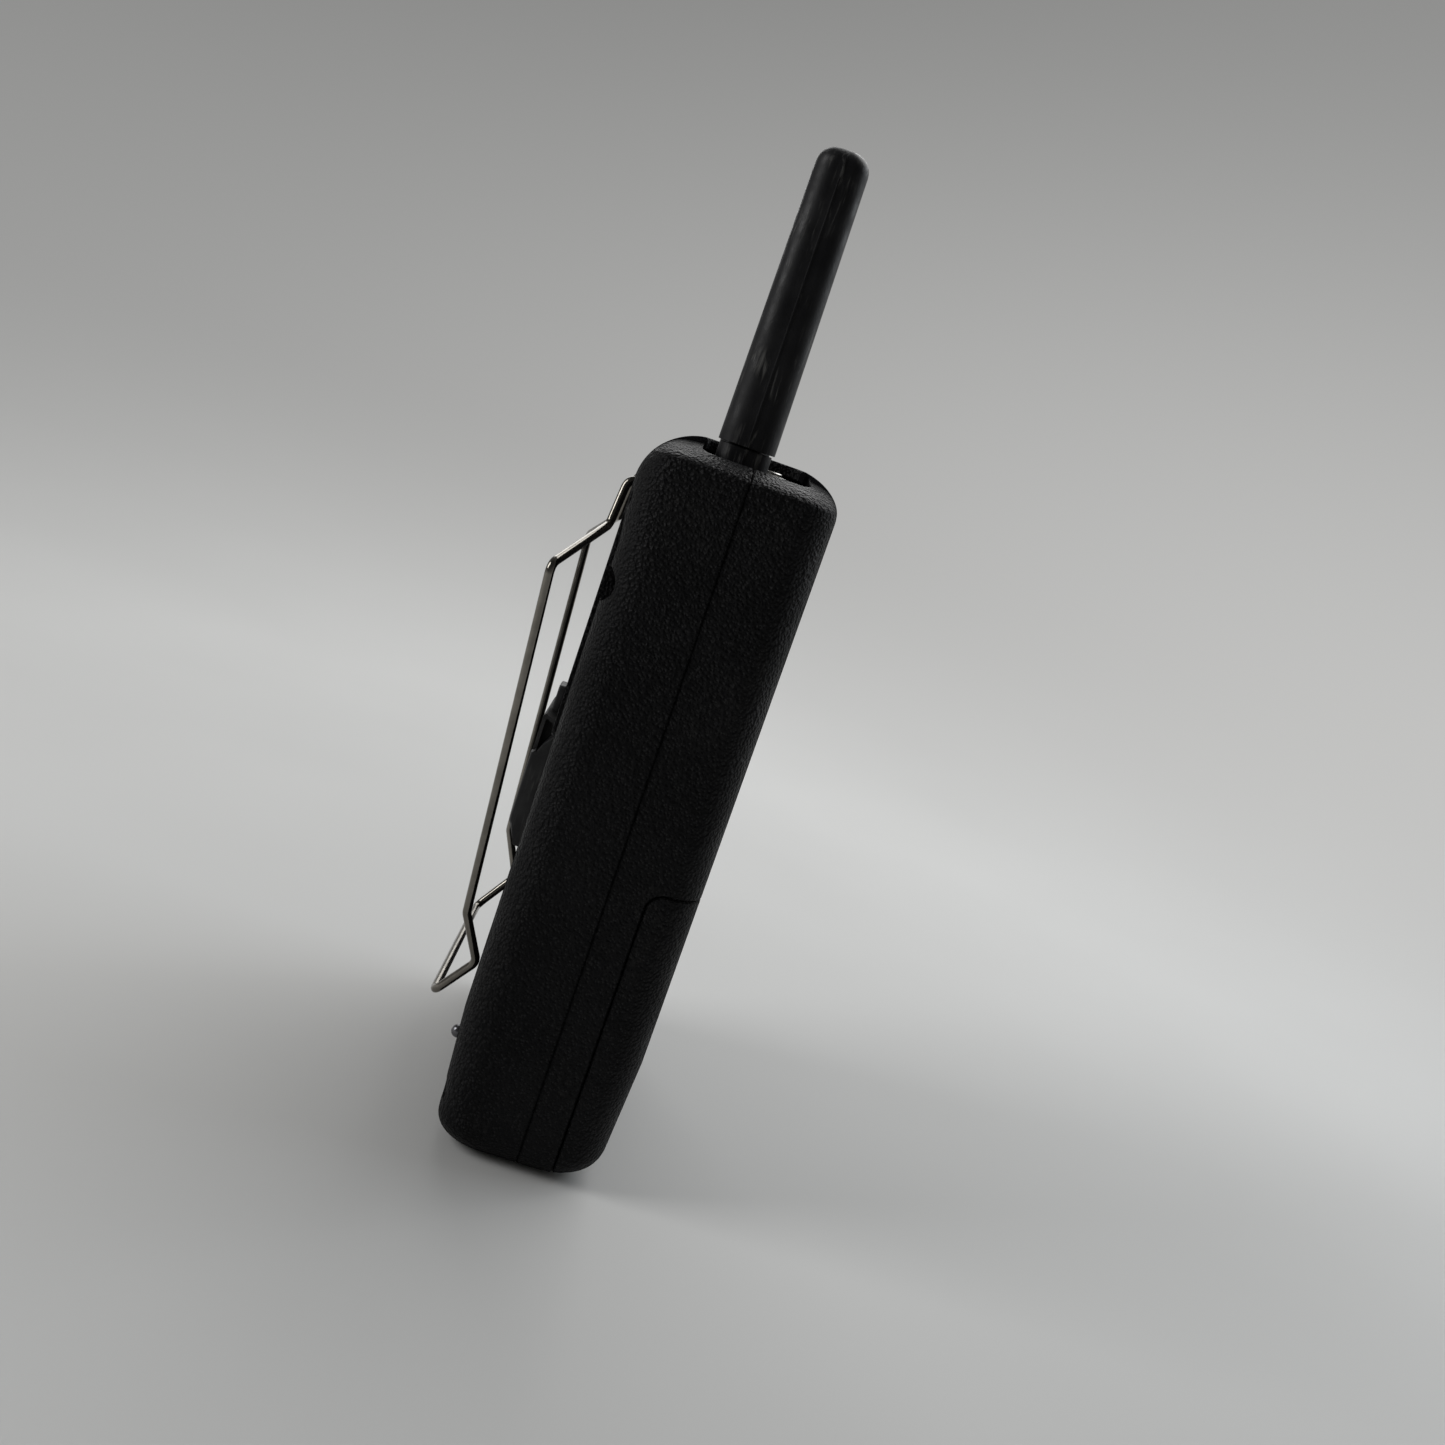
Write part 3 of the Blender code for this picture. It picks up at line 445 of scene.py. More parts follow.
def rubber_look(name="rubber_look", dark=(0.006, 0.006, 0.0065), light=(0.013, 0.013, 0.0135),
                scuff=0.25, rough=(0.48, 0.72)):
    """Moulded rubber: a faint skin texture, lighter scuffs that run up the piece, a little dust."""
    look = Surface(name, dark, 0.6, Specular_IOR_Level=0.22)
    look.bump(look.noise(0.5, detail=3.0), 0.03)
    base = look.mottled(6.0, dark, light)
    streak = look.noise(0.8, detail=5.0, vector=look.stretched((1.0, 1.0, 0.12), (0.05, 0.08, 0.0)),
                        distortion=0.6)
    worn = look.maths("MULTIPLY", look.spread(streak, 0.52, 0.68),
                      look.spread(look.noise(10.0, detail=2.0), 0.44, 0.60))
    look.colour(look.blend(look.maths("MULTIPLY", worn, scuff), base, (0.22, 0.215, 0.205)))
    look.uneven(4.0, *rough, detail=4.0)
    return look.material


def metal_look(name, colour, low, high):
    """Plated or drawn metal: drawing lines, faint tarnish, uneven polish."""
    look = Surface(name, colour, low, 1.0)
    lines = look.noise(0.25, detail=2.0, vector=look.stretched((1.0, 1.0, 0.06)))
    look.bump(lines, 0.012)
    look.colour(look.mottled(5.0, colour, tuple(value * 0.72 for value in colour)))
    look.uneven(2.2, low, high, detail=5.0, end=0.75)
    return look.material


def window_look():
    """Clear acrylic with a hard gloss and hairline marks."""
    look = Surface("window_look", (0.80, 0.84, 0.84), 0.04, IOR=1.49, Transmission_Weight=1.0)
    hair = look.noise(0.5, detail=5.0, vector=look.stretched((1.0, 0.1, 0.1), (0.3, 0.2, 0.4)))
    look.roughness(look.spread(hair, 0.55, 0.75, 0.03, 0.07))
    return look.material


def plain_look(name, colour, patches, gloss, grain, depth, **sockets):
    """An even colour with patchy gloss and a faint relief; patches and grain are sizes in millimetres."""
    look = Surface(name, colour, gloss[0], **sockets)
    look.uneven(patches, *gloss)
    look.bump(look.noise(grain), depth)
    return look.material


def glass_panel_look():
    """The switched-off display: grey-green, with a fine dot matrix."""
    look = Surface("glass_panel_look", (0.20, 0.23, 0.18), 0.18, Coat_Weight=0.6)
    dots = look.node("ShaderNodeTexBrick", {
        "Vector": look.stretched((1.0, 1.0, 1.0), (math.radians(90), 0, 0)), "Scale": 1 / (0.7 * MM),
        "Color1": (0.205, 0.232, 0.180, 1), "Color2": (0.190, 0.218, 0.170, 1),
        "Mortar": (0.225, 0.252, 0.200, 1), "Mortar Size": 0.06, "Brick Width": 1.0,
        "Row Height": 1.0}, offset=0.0)
    look.colour(dots)
    look.uneven(5.0, 0.12, 0.25)
    return look.material


def ink_look():
    """Pale ink of the key symbols, slightly worn."""
    look = Surface("ink_look", (0.55, 0.55, 0.53), 0.5)
    look.colour(look.mottled(0.5, (0.58, 0.58, 0.56), (0.30, 0.30, 0.29), 4.0, 0.5, 0.75))
    look.bump(look.noise(0.3), 0.004)
    return look.material


def cloth_look():
    """Black acoustic felt behind the grille."""
    look = Surface("cloth_look", (0.02, 0.02, 0.021), 0.9, Sheen_Weight=0.3)
    weave = look.maths("ADD", look.noise(0.18, detail=4.0), look.cells(0.4))
    look.bump(weave, 0.08)
    look.colour(look.blend(look.noise(0.3, detail=4.0), (0.012, 0.012, 0.013), (0.035, 0.035, 0.036)))
    return look.material


def board_look():
    """Green solder mask over copper tracks."""
    look = Surface("board_look", (0.02, 0.14, 0.06), 0.35, Coat_Weight=0.3)
    tracks = look.node("ShaderNodeTexBrick", {
        "Vector": look.stretched((1.0, 1.0, 1.0), (math.radians(90), 0, 0)), "Scale": 1 / (2.2 * MM),
        "Color1": (0.012, 0.11, 0.045, 1), "Color2": (0.016, 0.13, 0.055, 1),
        "Mortar": (0.035, 0.20, 0.085, 1), "Mortar Size": 0.05})
    look.colour(tracks)
    look.bump(look.noise(0.8), 0.02)
    return look.material


def sleeve_look():
    """Shrink sleeve of a plain cell: charcoal with a copper band near one end."""
    look = Surface("sleeve_look", (0.03, 0.03, 0.032), 0.25, Coat_Weight=0.6)
    height = look.node("ShaderNodeSeparateXYZ", {"Vector": look.coordinates}, output=2)
    band = look.spread(height, 44.0 * MM, 44.2 * MM, smooth=False)
    look.colour(look.blend(band, (0.028, 0.028, 0.031), (0.50, 0.26, 0.12)))
    look.bump(look.noise(2.5, detail=2.0), 0.03)
    look.uneven(3.0, 0.18, 0.34)
    return look.material


def lens_look():
    look = Surface("lens_look", (0.55, 0.08, 0.05), 0.12, Transmission_Weight=0.5, IOR=1.5)
    look.uneven(0.5, 0.08, 0.18)
    look.bump(look.cells(0.5), 0.01)
    return look.material


def studio_look():
    """A pale floor that turns, with distance, into a softly glowing backdrop: paler low down and to +X."""
    look = Surface("studio_look", (0.60, 0.60, 0.59), 0.8, Specular_IOR_Level=0.1)
    look.colour(look.blend(look.noise(120.0, detail=2.0), (0.58, 0.58, 0.57), (0.63, 0.63, 0.62)))
    parts = look.node("ShaderNodeSeparateXYZ", {"Vector": look.coordinates})
    across = parts.node.outputs
    distance = look.node("ShaderNodeVectorMath", {0: look.coordinates}, output=1, operation="LENGTH")
    height = look.spread(across[2], 0.0, 0.65, 1.0, 0.0)
    side = look.spread(across[0], -0.5, 0.5, 0.25, 1.0)
    front = look.spread(across[1], -0.6, 0.6, 1.24, 0.68)
    glow = look.maths("MULTIPLY", look.maths("MULTIPLY", side, front),
                      look.spread(height, 0.0, 1.0, 0.22, 0.47, smooth=False))
    light = look.node("ShaderNodeEmission", {"Color": (1.0, 1.0, 0.985, 1), "Strength": glow})
    far = look.spread(distance, 0.30, 0.62)
    mixed = look.node("ShaderNodeMixShader", {0: far, 1: look.shader.outputs[0], 2: light})
    output = look.tree.nodes["Material Output"]
    look.tree.links.new(mixed, output.inputs["Surface"])
    return look.material


CASE = case_plastic_look()
INNER = inner_plastic_look()
RUBBER = rubber_look()
SHEATH = rubber_look("sheath_look", (0.006, 0.006, 0.007), (0.012, 0.012, 0.013), 0.40, (0.38, 0.58))
COVER = rubber_look("cover_look", (0.026, 0.026, 0.0265), (0.042, 0.042, 0.0425), 0.2, (0.36, 0.56))
WIRE = metal_look("wire_look", (0.22, 0.205, 0.18), 0.10, 0.22)
DARK = metal_look("dark_steel_look", (0.16, 0.16, 0.17), 0.25, 0.45)
NICKEL = metal_look("nickel_look", (0.68, 0.67, 0.64), 0.16, 0.34)
BRASS = metal_look("brass_look", (0.70, 0.50, 0.22), 0.22, 0.42)
WINDOW = window_look()
PRINT = plain_look("print_look", (0.008, 0.008, 0.009), 2.0, (0.65, 0.80), 1.2, 0.001,
                   Specular_IOR_Level=0.05)
PANEL = glass_panel_look()
SEGMENT = plain_look("segment_look", (0.150, 0.175, 0.135), 1.0, (0.2, 0.35), 0.4, 0.002)
INK = ink_look()
CLOTH = cloth_look()
BOARD = board_look()
SLEEVE = sleeve_look()
LENS = lens_look()
STUDIO = studio_look()


# ---- case form
def round_in(distance, radius):
    """How far a rounded edge has drawn in at a distance from the end of the form."""
    if distance >= radius:
        return 0.0
    return radius - math.sqrt(max(radius ** 2 - (radius - distance) ** 2, 0.0))


def back_face(height, inset=0.0):
    """Y of the case's back at a height."""
    start, end, proud = BACK_SWELL
    swell = proud * min(max((height - start) / (end - start), 0.0), 1.0) * (inset == 0.0)
    drawn_in = round_in(height - inset, FOOT_RADIUS[0] - inset)
    drawn_in += round_in(BODY_HEIGHT - inset - height, TOP_RADIUS[0] - inset)
    return BACK_Y + swell - inset - TAPER * max(TAPER_TOP - height, 0.0) - drawn_in


def front_face(height, inset=0.0):
    """Y of the case's front at a height."""
    drawn_in = round_in(height - inset, FOOT_RADIUS[1] - inset)
    drawn_in += round_in(BODY_HEIGHT - inset - height, TOP_RADIUS[1] - inset)
    return FRONT_Y + inset + TAPER * max(TAPER_TOP - height, 0.0) + drawn_in


def half_width_at(height, inset=0.0):
    high = BODY_HEIGHT - inset - height
    crown = math.sqrt(1.0 - max(1.0 - high / TOP_CROWN, 0.0) ** 2)
    return (BODY_HALF_WIDTH - inset - round_in(height - inset, FOOT_RADIUS[2] - inset)) * crown


def case_ring(height, inset, steps):
    back = back_face(height, inset)
    front = front_face(height, inset)
    half = half_width_at(height, inset)
    radius = min(CORNER_RADIUS - inset, half * 0.6, (back - front) * 0.4)
    middle = (back + front) / 2
    return [Vector((point.x, point.y + middle, height))
            for point in arc_ring(half, (back - front) / 2, radius, steps)]


def case_heights(inset, fine):
    """Levels close together where the form curves."""
    steps = 16 if fine else 7
    foot = [FOOT_RADIUS[1] * (1 - math.cos(math.pi / 2 * step / steps)) for step in range(steps + 1)]
    middle = [TAPER_TOP, BACK_SWELL[0], BACK_SWELL[1]]
    crown = [TOP_CROWN * (1 - math.cos(math.pi / 2 * (0.07 + 0.93 * step / steps)))
             for step in range(steps + 1)]
    top = [TOP_CROWN + (TOP_RADIUS[0] - TOP_CROWN) * step / 6 for step in range(6, 0, -1)]
    levels = [inset + step for step in foot] + middle
    levels += [BODY_HEIGHT - inset - step for step in top + sorted(crown, reverse=True)]
    return levels


def case_form(name, inset=0.0, fine=True):
    steps = 12 if fine else 5
    return skin(name, [case_ring(level, inset, steps) for level in case_heights(inset, fine)])


def top_surface(x, y):
    """Height of the crowned top over a point."""
    share = min(abs(x) / BODY_HALF_WIDTH, 1.0)
    depth = TOP_CROWN * (1 - math.sqrt(1 - share ** 2))
    for radius, beyond in ((TOP_RADIUS[0], y - (BACK_Y - TOP_RADIUS[0])),
                           (TOP_RADIUS[1], (FRONT_Y + TOP_RADIUS[1]) - y)):
        if beyond > 0:
            depth = max(depth, radius - math.sqrt(radius ** 2 - min(beyond, radius) ** 2))
    return BODY_HEIGHT - depth


def well_cutter(name):
    """The opening for the control well, with a rim that follows the crowned top."""
    (middle_x, half_x), (middle_y, half_y) = span(WELL_X), span(WELL_Y)
    rings = []
    for grow, rise in ((0.0, None), (0.0, -0.7), (0.12, -0.25), (0.4, 0.03), (0.4, 12.0)):
        ring = []
        for point in arc_ring(half_x + GAP + grow, half_y + GAP + grow, 2.0 + grow, 6, 12):
            x, y = point + Vector((middle_x, middle_y))
            height = WELL_Z[0] - 1 if rise is None else top_surface(x, y) + rise
            ring.append(Vector((x, y, height)))
        rings.append(ring)
    return skin(name, rings)


def seam_groove(name):
    """A fine shadow line round the case where its two shells meet."""
    return carve(slab(name, SEAM_Y - 0.28, SEAM_Y + 0.28), case_form("seam_core", 0.16))


def seam_ring(name, outer, inner, low, high):
    """A band of the case's wall beside the seam, between two depths below the surface."""
    ring = case_form(name, outer, fine=False)
    carve(ring, case_form("ring_core", inner, fine=False))
    return keep(ring, slab("ring_room", SEAM_Y + low, SEAM_Y + high))


def door_block(name, grow):
    """The block of the case that the battery door takes up."""
    reach = 60.0
    top = DOOR_TOP - GAP / 2 + grow - reach
    back = DOOR_BACK_Y - GAP / 2 + grow - reach
    return skin(name, [[Vector((x, point.x + back, point.y + top))
                        for point in arc_ring(reach, reach, DOOR_CORNER + grow, 8)]
                       for x in (-reach, reach)])


def door_groove(name):
    """A softened edge along the battery door's shut line."""
    outer = door_block(name, GAP + 0.18)
    carve(outer, door_block("door_core", -0.18))
    return carve(outer, case_form("door_form", 0.2))


def screw_places():
    for level, height in zip(("lower", "upper"), SCREW_HEIGHTS):
        for side, sign in SIDES:
            yield f"{level}_{side}", sign * SCREW_X, height


def key_places():
    for index, name in enumerate(KEY_NAMES):
        yield name, (index - (len(KEY_NAMES) - 1) / 2) * KEY_PITCH


# ---- shells
def make_rear_case():
    shell = case_form("rear_case")
    carve(shell, slab("rear_split", -60, SEAM_Y + SHUT_LINE))
    carve(shell, case_form("rear_hollow", WALL, fine=False))
    carve(shell, seam_groove("rear_seam"))
    add(shell, seam_ring("rear_tongue", LAP[1], LAP[2], -1.1, 0.9))
    bosses = [rod(f"boss_{place}", "back", (x, z), 2.7, 0.5, min(back_face(z) - 1.2, 15.0))
              for place, x, z in screw_places()]
    add(shell, block("clip_block", (-16, 10.5, 110), (16, 15.2, 124.6)), *bosses)
    middle, half = span(PANEL_SPAN)
    add(shell, drawn("back_panel", "back", (0, middle), (PANEL_HALF_WIDTH, half), 3.0,
                     [(15.5, 0), (PANEL_Y - 0.3, 0), (PANEL_Y - 0.12, 0.06), (PANEL_Y - 0.02, 0.3)]))
    carve(shell, *rear_bores())
    make_clip_recess(shell)
    make_lanyard_anchor(shell)
    carve(shell, label_recess())
    carve(shell, well_cutter("rear_well"))
    carve(shell, rod("rear_knob_hole", "top", KNOB, KNOB_HOLE, 120, 140))
    return dress(shell, CASE, "case", ["rear_shell"])


def rear_bores():
    """Cutters for the screws, the charge contacts, the clip's screws and the rear port."""
    bores = [turned(f"bore_{place}", "back", (x, z),
                    [(1.35, -1.0), (1.35, SCREW_SEAT_Y), (2.15, SCREW_SEAT_Y),
                     (2.15, back_face(z) - EDGE), (2.15 + EDGE, back_face(z)), (5, back_face(z) + 3)])
             for place, x, z in screw_places()]
    for side, sign in SIDES:
        bores.append(bore(f"contact_hole_{side}", "back", (sign * CONTACT[0], CONTACT[1]), 1.35,
                          back_face(CONTACT[1]), 8.0, 0.5))
        bores.append(rod(f"clip_pilot_{side}", "back", (sign * CLIP_SCREW[0], CLIP_SCREW[1]),
                         1.3, 11.2, 20.0, 24))
    middle, half = span(PORT_JACK_Z)
    bores.append(opening("port_window", "back", (0, middle), (7.2, half + 0.7), 1.2, BACK_Y, 10.0))
    return bores


def make_clip_recess(shell):
    """Room in the back for the clip's bracket and for the bar that turns under it."""
    middle, half = span(BRACKET_SPAN)
    carve(shell, opening("bracket_recess", "back", (0, middle), (BRACKET_HALF_WIDTH + GAP, half + GAP),
                         1.6, PANEL_Y, 15.3, 0.25))
    middle, half = span((CLIP_AXIS[1] - 1.3, CLIP_AXIS[1] + 2.7))
    carve(shell, opening("clip_groove", "back", (0, middle), (CLIP_BAR_HALF + 1.5, half), 0.9,
                         PANEL_Y, 13.1, 0.25))


def make_lanyard_anchor(shell):
    """A round pocket in the left rear corner, with a post across it for a wrist strap."""
    x, z = LANYARD
    floor = LANYARD_FLOOR_Y
    pocket = rod("lanyard_pocket", "back", LANYARD, LANYARD_RADIUS + 1.0, floor - 1.2, 20.0)
    keep(pocket, case_form("lanyard_room", 1.0, fine=False))
    add(shell, pocket)
    carve(shell, turned("lanyard_hole", "back", LANYARD,
                        [(LANYARD_RADIUS - 0.4, floor), (LANYARD_RADIUS, floor + 0.4),
                         (LANYARD_RADIUS, 25.0)], 48))
    reach = LANYARD_RADIUS + 0.5
    add(shell, rod("lanyard_post", "top", (x, 13.2), 0.7, z - reach, z + reach, 20))


def label_recess():
    """A shallow blank panel low on the back."""
    return drawn("label_recess", "back", (0, 26.5), (17.0, 7.0), 1.5,
                 [(16.15, 0.15), (16.3, 0), (16.5, -0.2), (20, -0.2)])


def make_front_case():
    shell = case_form("front_case")
    carve(shell, slab("front_split", SEAM_Y - SHUT_LINE, 60))
    carve(shell, case_form("front_hollow", WALL, fine=False))
    carve(shell, seam_groove("front_seam"))
    carve(shell, seam_ring("front_rebate", LAP[0], WALL + 0.3, -1.3, 0.9))
    carve(shell, door_block("door_gap", GAP))
    carve(shell, door_groove("front_door_groove"))
    middle, half = span(DISPLAY_SPAN)
    carve(shell, opening("display_rebate", "front", (0, middle), (DISPLAY_HALF_WIDTH + GAP, half + GAP),
                         2.3, -FRONT_Y, 15.0, 0.4))
    holes = [drawn("display_opening", "front", (0, 110.5), (21.5, 8.5), 1.0, [(12, 0), (15.5, 0)]),
             bore("mic_hole", "front", MIC, 0.8, -FRONT_Y, 12, 0.3),
             bore("led_hole", "front", LED, 1.8, -FRONT_Y, 12, 0.3)]
    for name, x in key_places():
        holes.append(opening(f"{name}_opening", "front", (x, KEY_Z),
                             (KEY_HALF[0] + GAP, KEY_HALF[1] + GAP), 1.5, -FRONT_Y, 12.0, 0.3))
    holes += grille_slots()
    carve(shell, *holes)
    carve(shell, ring_groove("grille_ring", 14.4, 0.35, 0.35))
    carve(shell, opening("ptt_opening", "right", PTT_CENTRE, (PTT_HALF[0] + GAP, PTT_HALF[1] + GAP),
                         1.8, BODY_HALF_WIDTH, 30.0, 0.4))
    carve(shell, well_cutter("front_well"))
    carve(shell, rod("front_knob_hole", "top", KNOB, KNOB_HOLE, 120, 140))
    return dress(shell, CASE, "case", ["front_shell"])


def ring_groove(name, radius, half, depth):
    """A round V groove in the front face."""
    steps = 96
    centre = Vector((0, 0, SPEAKER_Z))
    rings = []
    for step in range(steps):
        angle = 2 * math.pi * step / steps
        across = Vector((math.cos(angle), 0, math.sin(angle)))
        rings.append([centre + across * (radius + out) + Vector((0, y, 0))
                      for out, y in ((-half * 2, FRONT_Y - half), (0, FRONT_Y + depth),
                                     (half * 2, FRONT_Y - half))])
    return skin(name, rings, around=True)


def grille_slots():
    """Level slots that fill a circle in front of the speaker."""
    slots = []
    reach = SPEAKER_RADIUS - 1.0
    for index in range(9):
        rise = (index - 4) * SLOT_PITCH
        half = math.sqrt(max(reach ** 2 - rise ** 2, 9.0))
        slots.append(opening(f"grille_slot_{index}", "front", (0, SPEAKER_Z + rise), (half, 0.6), 0.6,
                             -FRONT_Y, 12.0, 0.28))
    return slots


def make_battery_door():
    door = case_form("door")
    keep(door, door_block("door_room", 0.0))
    carve(door, case_form("door_hollow", WALL, fine=False))
    carve(door, door_groove("door_door_groove"))
    grooves = [drawn(f"grip_groove_{index}", "front", (0, DOOR_TOP - 7.0 - 2.0 * index), (9.0, 0.55),
                     0.5, [(15.9, 0.3), (16.1, 0.1), (16.5, 0), (18, 0)]) for index in range(5)]
    carve(door, *grooves)
    return dress(door, CASE, "battery_door", ["battery_door"])


def make_control_well():
    """The sunk tray that the antenna and the headset jack come up through."""
    centre, half = zip(span(WELL_X), span(WELL_Y))
    profile = [(WELL_Z[0], 0.3), (WELL_Z[0] + 0.3, 0), (WELL_Z[1] - 0.25, 0), (WELL_Z[1], 0.25),
               (WELL_Z[1], 0.95), (WELL_Z[1] - 0.25, 1.2), (WELL_FLOOR + 0.8, 1.2),
               (WELL_FLOOR + 0.4, 1.28), (WELL_FLOOR + 0.12, 1.55), (WELL_FLOOR, 2.0)]
    well = drawn("well", "top", centre, half, 2.4, profile)
    carve(well, rod("antenna_hole", "top", ANTENNA, 2.0, 120, 135),
          rod("jack_hole", "top", JACK, 2.9, 120, 135))
    return dress(well, INNER, "case", ["control_well"])


# ---- screws and contacts
def cross_recess(name, axis, centre, top):
    """The tapered cross of a screw's drive."""
    half, width, depth = 1.0, 0.2, 0.75
    return [drawn(f"{name}_{sizes[0]}", axis, centre, sizes, 0.05,
                  [(top - depth, 0.12), (top + 0.5, -0.02)], 2)
            for sizes in ((half, width), (width, half))]


def make_screw(name, centre, seat, top, head, shank, tip, replaces):
    """A pan-head screw that goes in from the back."""
    profile = [(shank, tip), (shank, seat), (head - 0.1, seat), (head, seat + 0.15)]
    profile += [(out, seat + 0.15 + rise) for out, rise in arc(head, top - seat - 0.15, (18, 36, 54, 70))]
    screw = turned(name, "back", centre, profile, 32)
    for tool in cross_recess(name + "_cross", "back", centre, top):
        carve(screw, tool)
    return dress(screw, DARK, "case", [replaces])


def make_screws():
    for place, x, z in screw_places():
        make_screw(f"screw_{place}", (x, z), SCREW_SEAT_Y + GAP, SCREW_SEAT_Y + GAP + 1.6, 1.85, 1.05,
                   -6.0, f"case_screw_{place}")
    for side, sign in SIDES:
        make_screw(f"bracket_screw_{side}", (sign * CLIP_SCREW[0], CLIP_SCREW[1]), 16.6, 17.35, 1.75,
                   0.95, 11.5, f"clip_screw_{side}")


def make_charge_contacts():
    dome = [(out, 16.7 + rise) for out, rise in arc(1.25, 1.25, range(0, 90, 12))]
    for side, sign in SIDES:
        contact = turned(f"contact_{side}", "back", (sign * CONTACT[0], CONTACT[1]),
                         [(0.9, 11.2), (0.9, 16.1), (1.2, 16.1), (1.25, 16.2)] + dome, 36)
        dress(contact, DARK, "case", [f"charge_contact_{side}"], sharp=50)


# ---- belt clip
def rounded_path(corners, radius, steps=10):
    """Points along a path whose corners are rounded, ends kept."""
    corners = [Vector(corner) for corner in corners]
    path = [corners[0]]
    for before, corner, after in zip(corners, corners[1:], corners[2:]):
        inward = (before - corner).normalized()
        outward = (after - corner).normalized()
        half_turn = inward.angle(outward) / 2
        trim = min(radius / math.tan(half_turn), (before - corner).length * 0.45,
                   (after - corner).length * 0.45)
        start = corner + inward * trim
        end = corner + outward * trim
        for step in range(steps + 1):
            part = step / steps
            path.append((1 - part) ** 2 * start + 2 * part * (1 - part) * corner + part ** 2 * end)
    path.append(corners[-1])
    return path


def tube(name, path, radius, sides=16):
    """A round wire along a path, its section carried without twist."""
    rings = []
    direction = (path[1] - path[0]).normalized()
    across = direction.orthogonal().normalized()
    for index, point in enumerate(path):
        before = path[max(index - 1, 0)]
        after = path[min(index + 1, len(path) - 1)]
        direction = (after - before).normalized()
        across = (across - direction * across.dot(direction)).normalized()
        beside = direction.cross(across)
        rings.append([point + radius * (across * math.cos(2 * math.pi * step / sides)
                                        + beside * math.sin(2 * math.pi * step / sides))
                      for step in range(sides)])
    return skin(name, rings)


def make_belt_clip():
    bar_y, bar_z = CLIP_AXIS
    half = [(1.0, bar_y, bar_z), (CLIP_BAR_HALF, bar_y, bar_z), (CLIP_BAR_HALF, 19.0, bar_z),
            (15.0, 19.7, 111.9), (36.4, 25.6, 104.5), (27.6, 21.6, 39.4), (25.9, 17.3, 30.4),
            (24.5, 23.1, 22.0)]
    loop = half + [(-x, y, z) for x, y, z in reversed(half)]
    clip = tube("clip_wire", rounded_path(loop, 2.2), 0.8)
    dress(clip, WIRE, "belt_clip", ["belt_clip"], sharp=60)


def make_clip_bracket():
    middle, half = span(BRACKET_SPAN)
    bracket = drawn("bracket", "back", (0, middle), (BRACKET_HALF_WIDTH, half), 1.2,
                    [(15.6, 0.0), (16.85, 0.0), (17.0, 0.05), (17.12, 0.15), (17.18, 0.28),
                     (17.2, 0.45)])
    tools = [turned(f"bracket_bore_{side}", "back", (sign * CLIP_SCREW[0], CLIP_SCREW[1]),
                    [(1.3, 10), (1.3, 16.3), (2.1, 16.3), (2.1, 17.0), (2.3, 17.2), (2.8, 17.7)])
             for side, sign in SIDES]
    tools += [drawn(f"bracket_flute_{index}", "back", (0, 118.4 + 1.6 * index), (8.6, 0.4), 0.35,
                    [(16.9, 0.15), (17.2, -0.1), (18.0, -0.1)]) for index in range(3)]
    carve(bracket, *tools)
    return dress(bracket, CASE, "case", ["clip_bracket"])


# ---- rear port
def side_solid(name, outline, low, high, soft=0.0):
    """A (y, z) outline drawn along X, with its two ends rounded off where soft is given."""
    low, high = sorted((low, high))
    centre = sum((Vector(point) for point in outline), Vector((0, 0))) / len(outline)
    levels = [(low, soft), (high, soft)]
    if soft:
        levels = [(low, soft), (low + 0.3 * soft, 0.45 * soft), (low + soft, 0.0),
                  (high - soft, 0.0), (high - 0.3 * soft, 0.45 * soft), (high, soft)]
    rings = [[Vector((x, y + math.copysign(inset, centre.x - y), z + math.copysign(inset, centre.y - z)))
              for y, z in outline] for x, inset in levels]
    return skin(name, rings)


